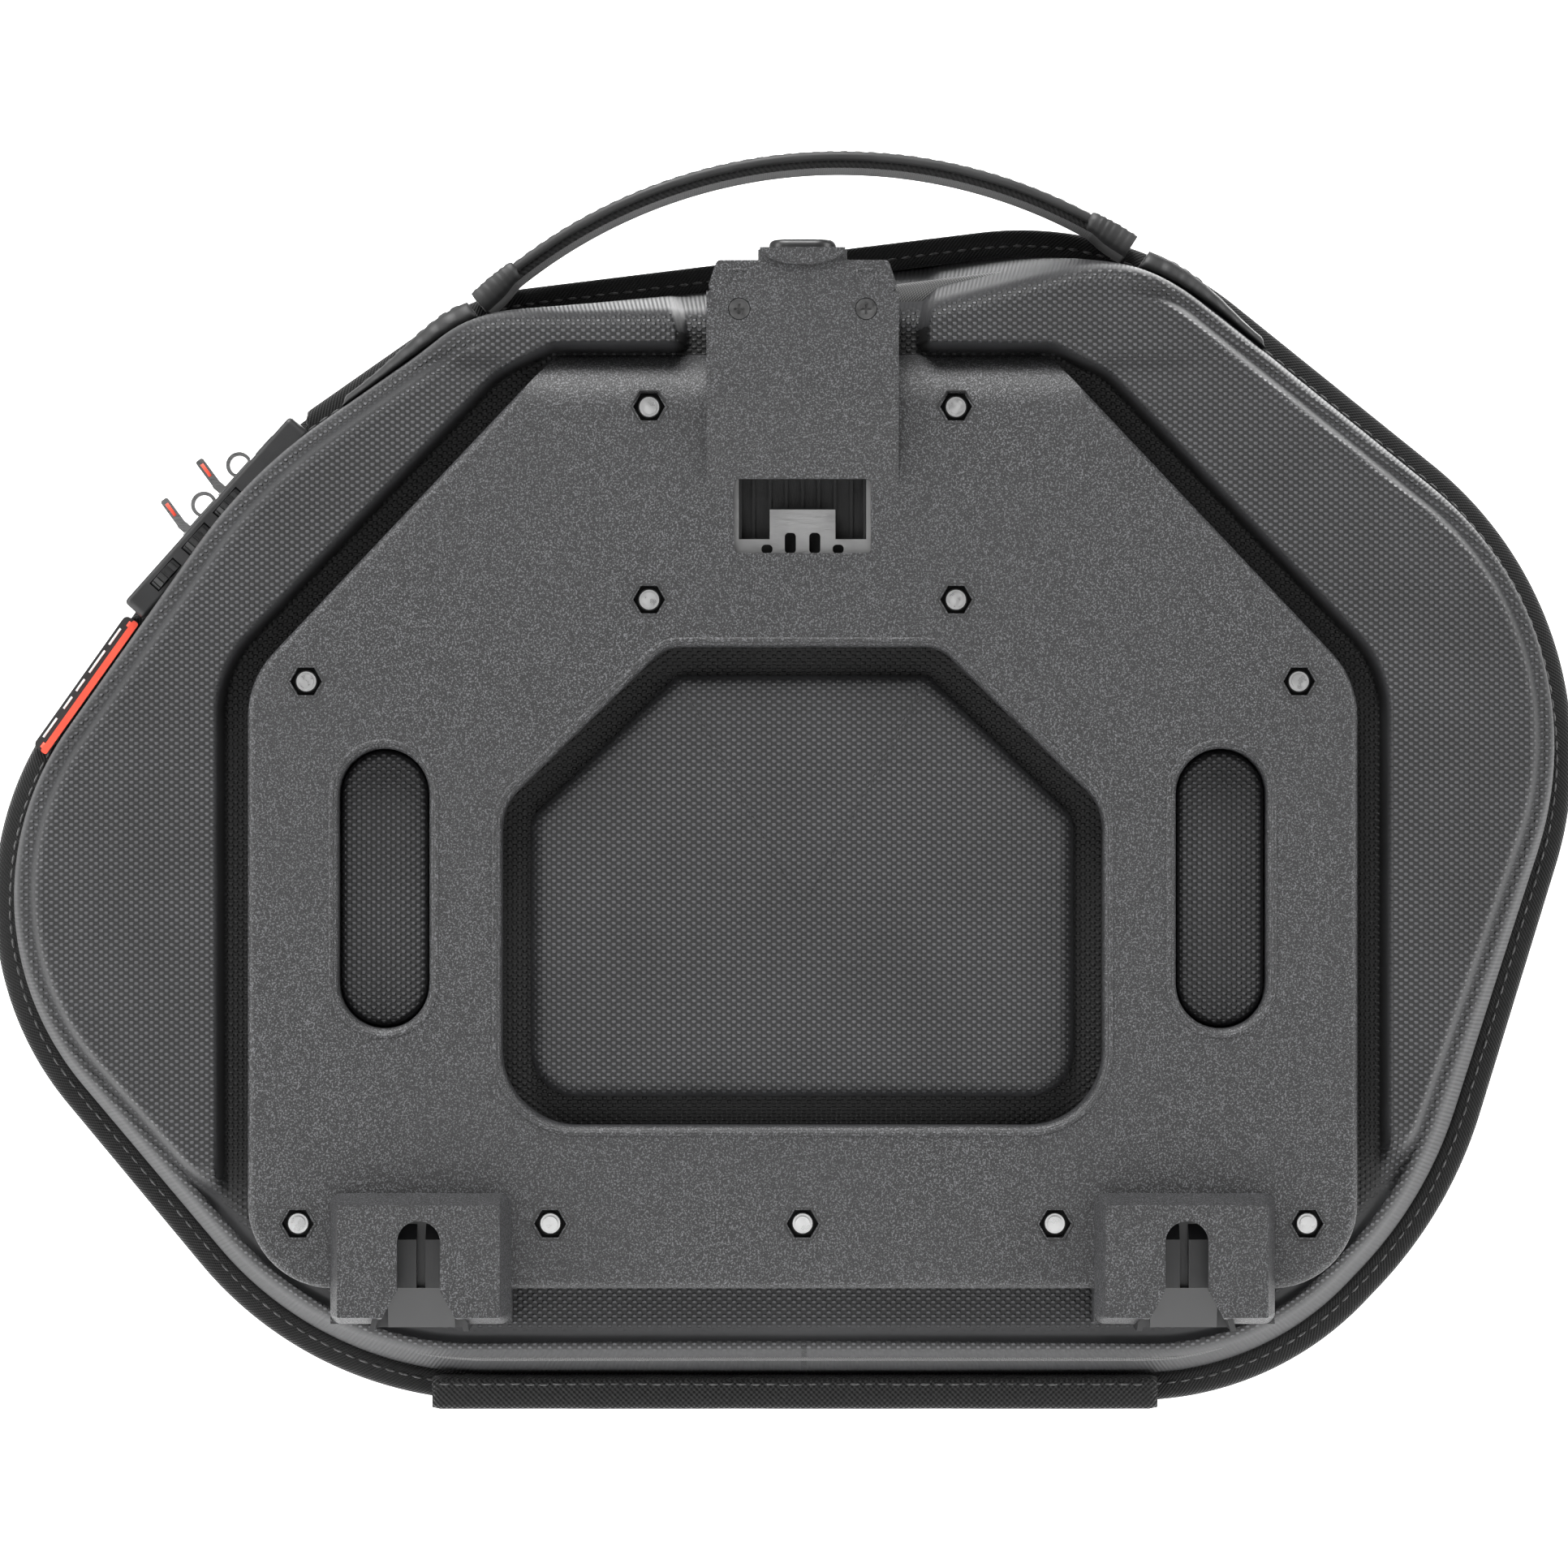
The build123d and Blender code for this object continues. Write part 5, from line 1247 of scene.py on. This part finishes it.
def build_tab_inlays():
    """Red inlays let into both faces of each steel pull tab."""
    ahead = np.array([cos(LOCK_TURN), 0, sin(LOCK_TURN)])
    outward = np.array([-sin(LOCK_TURN), 0, cos(LOCK_TURN)])
    across = ahead * cos(TAB_LEAN) - outward * sin(TAB_LEAN)
    along = np.array([-across[2], 0, across[0]])
    for body, place in (("tab_a", -3.6), ("tab_b", 11.2)):
        pivot = np.array([LOCK_CENTRE[0], -0.6, LOCK_CENTRE[1]]) + ahead * (place - 4.9) + outward * 7.8
        batch = Batch()
        for side in (-1, 1):
            centre = pivot + along * 5.2 + np.array([0, side * 1.55, 0])
            batch.add(*slab(centre, along, across, np.array([0, side, 0.0]), 4.2, 0.9, 0.4, 0.12))
        batch.piece(f"inlay_{body}", RED, rides=body, slot="badge_red")


def build_badge_marks():
    """Plain white dashes beside the badge's red rib, and the rib's two small feet."""
    start, end = np.array([-206.0, 0, 181.5]), np.array([-180.2, 0, 217.8])
    ahead = unit(end - start)
    out = np.array([-ahead[2], 0, ahead[0]])
    middle = (start + end) / 2
    dashes = Batch()
    for at, length in ((-15.5, 6.5), (-7.0, 4.0), (-1.0, 4.0), (7.0, 7.5), (15.5, 5.5)):
        centre = middle + ahead * at + out * 1.9 + np.array([0, 16.95, 0])
        dashes.add(*slab(centre, ahead, out, np.array([0, 1.0, 0]), length, 0.6, 0.2, 0.05))
    dashes.piece("badge_dashes", PRINT, rides="back_case", slot="badge_rubber")
    feet = Batch()
    for at in (-20.6, 20.6):
        centre = middle + ahead * at - out * 0.1 + np.array([0, 17.2, 0])
        feet.add(*slab(centre, ahead, out, np.array([0, 1.0, 0]), 1.6, 2.4, 0.8, 0.25))
    feet.piece("badge_feet", RED, rides="back_case", slot="badge_red")


def build_slot_lips():
    """A thin raised lip round each hand slot and round the plate's window."""
    half_w, half_l = SLOT_W / 2, SLOT_L / 2
    loops = [("window_lip", inset(evenly(window_outline, 420), -1.9))]
    for name, side in (("slot_lip_left", -1), ("slot_lip_right", 1)):
        corners = [(-half_w, -half_l), (-half_w, half_l), (half_w, half_l), (half_w, -half_l)]
        x = PLATE_X + side * SLOT_X
        ring = rounded([(a + x, b + SLOT_Z) for a, b in corners], [half_w - 0.01] * 4, count=180)
        loops.append((name, inset(ring, -1.9)))
    for name, path in loops:
        normal = inward(path)
        rings = []
        for a in np.linspace(0, 2 * pi, 10)[:-1]:
            rings.append(lifted(path + normal * 0.75 * cos(a), 74.85 + 0.55 * sin(a)))
        hoop(name, rings, PLATE_PLASTIC, rides="back_case", slot="plate_plastic")


def nut_hoops(name, sides, profile, **options):
    """One small hoop round each nut, from the (radius, depth) points of its section."""
    batch = Batch()
    turn = np.linspace(0, 2 * pi, sides, endpoint=False)
    circle = np.column_stack([np.cos(turn), np.sin(turn)])
    for nut in NUT_POINTS:
        rings = [lifted(nut + radius * circle, depth) for radius, depth in profile]
        batch.add(np.vstack(rings), grid_faces(len(rings), sides, round_rows=True))
    batch.piece(name, INNER, rides="back_case", slot="plate_plastic", **options)


def build_nut_pockets():
    """Painted shade: black hexagonal sheets at the mouths of the plate's nut pockets, and black rings in the
    nuts' collars, where the pockets lie in shade.
    """
    mouth = ((9.0, 75.0), (8.8, 75.12), (8.4, 75.06), (7.25, 73.4), (7.25, 72.1), (7.6, 72.1))
    nut_hoops("nut_pocket_painted_shade", 6, [(flats / 2 / cos(pi / 6), depth) for flats, depth in mouth], flat=True)
    collar = ((3.05, 72.1), (3.12, 72.4), (3.12, 73.3), (2.95, 73.5), (2.7, 73.5), (2.65, 73.3))
    nut_hoops("nut_collar_painted_shade", 24, collar)


def build_cap_marks():
    """A pair of small raised arches on each side of the latch cap's face."""
    for name, side in (("cap_mark_left", -1), ("cap_mark_right", 1)):
        batch = Batch()
        x = PLATE_X + side * 17.2
        for a, b in (((-2.6, -2.2), (-2.6, 1.6)), ((-2.6, 1.6), (2.6, 1.6)), ((2.6, 1.6), (2.6, -2.2))):
            start = (x + a[0], 81.0, 308.8 + a[1])
            end = (x + b[0], 81.0, 308.8 + b[1])
            batch.add(*capsule(start, end, 0.8, 0.7, (0, 1, 0), sides=8))
        batch.piece(name, PLATE_PLASTIC, rides="back_case", slot="plate_plastic")


# ================================================================ studio
def area_light(name, place, aim, size, power, size_y=None, tint=(1, 1, 1)):
    lamp = bpy.data.lights.new(name, "AREA")
    lamp.shape = "RECTANGLE"
    lamp.size, lamp.size_y = size, size_y or size
    lamp.energy = power
    lamp.color = tint
    holder = bpy.data.objects.new(name, lamp)
    holder.location = place
    holder.rotation_mode = "QUATERNION"
    holder.rotation_quaternion = (Vector(aim) - Vector(place)).to_track_quat("-Z", "Y")
    bpy.context.scene.collection.objects.link(holder)


def build_studio():
    scene = bpy.context.scene
    scene.view_settings.view_transform = "Standard"
    world = bpy.data.worlds.new("studio")
    world.use_nodes = True
    world.node_tree.nodes["Background"].inputs["Color"].default_value = (1.0, 1.0, 1.0, 1)
    world.node_tree.nodes["Background"].inputs["Strength"].default_value = 0.14
    scene.world = world
    floor_z = -0.16
    paper = studio_finish("studio_paper", 0.9)
    floor_mesh = bpy.data.meshes.new("floor")
    bend, steps, far, wide = 1.2, 24, 4.6, 12.0
    profile = [(-12.0, floor_z)]
    for a in np.linspace(0, pi / 2, steps):
        profile.append((far - bend + bend * sin(a), floor_z + bend * (1 - cos(a))))
    profile += [(far, floor_z + 4.5)]
    floor_points = [(x, y, z) for y, z in profile for x in (-wide, wide)]
    strips = [[2 * k, 2 * k + 1, 2 * k + 3, 2 * k + 2] for k in range(len(profile) - 1)]
    floor_mesh.from_pydata(floor_points, [], strips)
    floor_mesh.shade_smooth()
    floor_mesh.materials.append(paper)
    floor = bpy.data.objects.new("floor", floor_mesh)
    scene.collection.objects.link(floor)
    area_light("top_softbox", (-0.25, -0.50, 1.45), (0, -0.04, 0.2), 1.0, 34, 0.55)
    area_light("left_softbox", (-1.35, -0.55, 0.50), (0, -0.05, 0.16), 0.4, 16, 1.2)
    area_light("right_softbox", (1.35, -0.55, 0.55), (0, -0.05, 0.16), 0.4, 16, 1.2)
    area_light("front_fill", (-0.7, -2.4, 1.3), (0, 0, 0.15), 1.0, 9, 0.8)
    area_light("rear_softbox", (0.4, 1.4, 1.1), (0, 0.05, 0.15), 1.1, 24, 0.8)
    area_light("backdrop_wash", (0.0, 2.9, 2.2), (0, 4.6, 0.6), 3.5, 110, 1.0)

    camera = bpy.data.cameras.new("camera")
    camera.sensor_width = 36.0
    camera.lens = 155.8
    camera.clip_start, camera.clip_end = 0.1, 20
    holder = bpy.data.objects.new("camera", camera)
    holder.location = (0.0, -1.9, 0.1725)
    holder.rotation_euler = (pi / 2, 0, 0)
    scene.collection.objects.link(holder)
    scene.camera = holder


# ================================================================ CAD nodes that stay
def dress(material, *nodes):
    """Gives carried-over CAD nodes their finish."""
    for node in nodes:
        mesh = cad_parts[node].data
        mesh.materials.clear()
        mesh.materials.append(material)


def dress_nodes():
    dress(PLATE_PLASTIC, "mounting_plate", "latch_cap")
    dress(BUTTON, "release_button", "lock_release", "buckle_socket", "buckle_tongue")
    dress(GUIDE, "hook_guide_left", "hook_guide_right")
    dress(INNER, "latch_housing", "stiffener")
    dress(SATIN, "latch_plate")
    dress(SPRING, "latch_springs")
    dress(ZINC, "plate_screws", "screw_washers", "dial_pins")
    dress(NUT, "plate_nuts")
    dress(BLACK_SCREW, "cap_screws")
    dress(LOCK, "lock_body")
    dress(DIAL, "dial_1", "dial_2", "dial_3")
    dress(SLIDER, "zip_slider_1", "zip_slider_2", "pull_tab_1", "pull_tab_2")
    dress(BADGE, "badge_base")
    dress(RED, "badge_rib")
    dress(ZIP, "pocket_zip")


def soften(width, *nodes):
    """Rounds the sharp edges of moulded CAD nodes."""
    for node in nodes:
        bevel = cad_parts[node].modifiers.new("soften", "BEVEL")
        bevel.width = width * MM
        bevel.segments = 2
        bevel.limit_method = "ANGLE"
        bevel.angle_limit = radians(35)


build_studio()
dress_nodes()
soften(0.7, "mounting_plate", "latch_cap")
soften(0.35, "lock_body", "buckle_socket", "buckle_tongue", "lock_release", "release_button")
soften(0.2, "latch_plate", "hook_guide_left", "hook_guide_right")
build_back_shell()
build_pads()
build_cover_shell()
build_bands()
build_zip()
hinge_pad()
build_handle()
build_anchor("sleeve_left", "handle_anchor_left", -1)
build_anchor("sleeve_right", "handle_anchor_right", 1)
build_collar("collar_left", -1)
build_collar("collar_right", 1)
build_liner("lining_back", "back_liner", "back_case", 1, 13.8, 5.6, 52.5, 6.0)
build_liner("lining_front", "front_liner", "cover", -1, 22.8, 5.6, 80.7, 14.0)
build_gusset("pleats_left", "gusset_left", -1)
build_gusset("pleats_right", "gusset_right", 1)
build_strap("strap_left", "luggage_strap_left", -150.0, -19.2)
build_strap("strap_right", "luggage_strap_right", 29.2, 160.0)
build_pocket()
build_tab_inlays()
build_badge_marks()
build_slot_lips()
build_nut_pockets()
build_cap_marks()
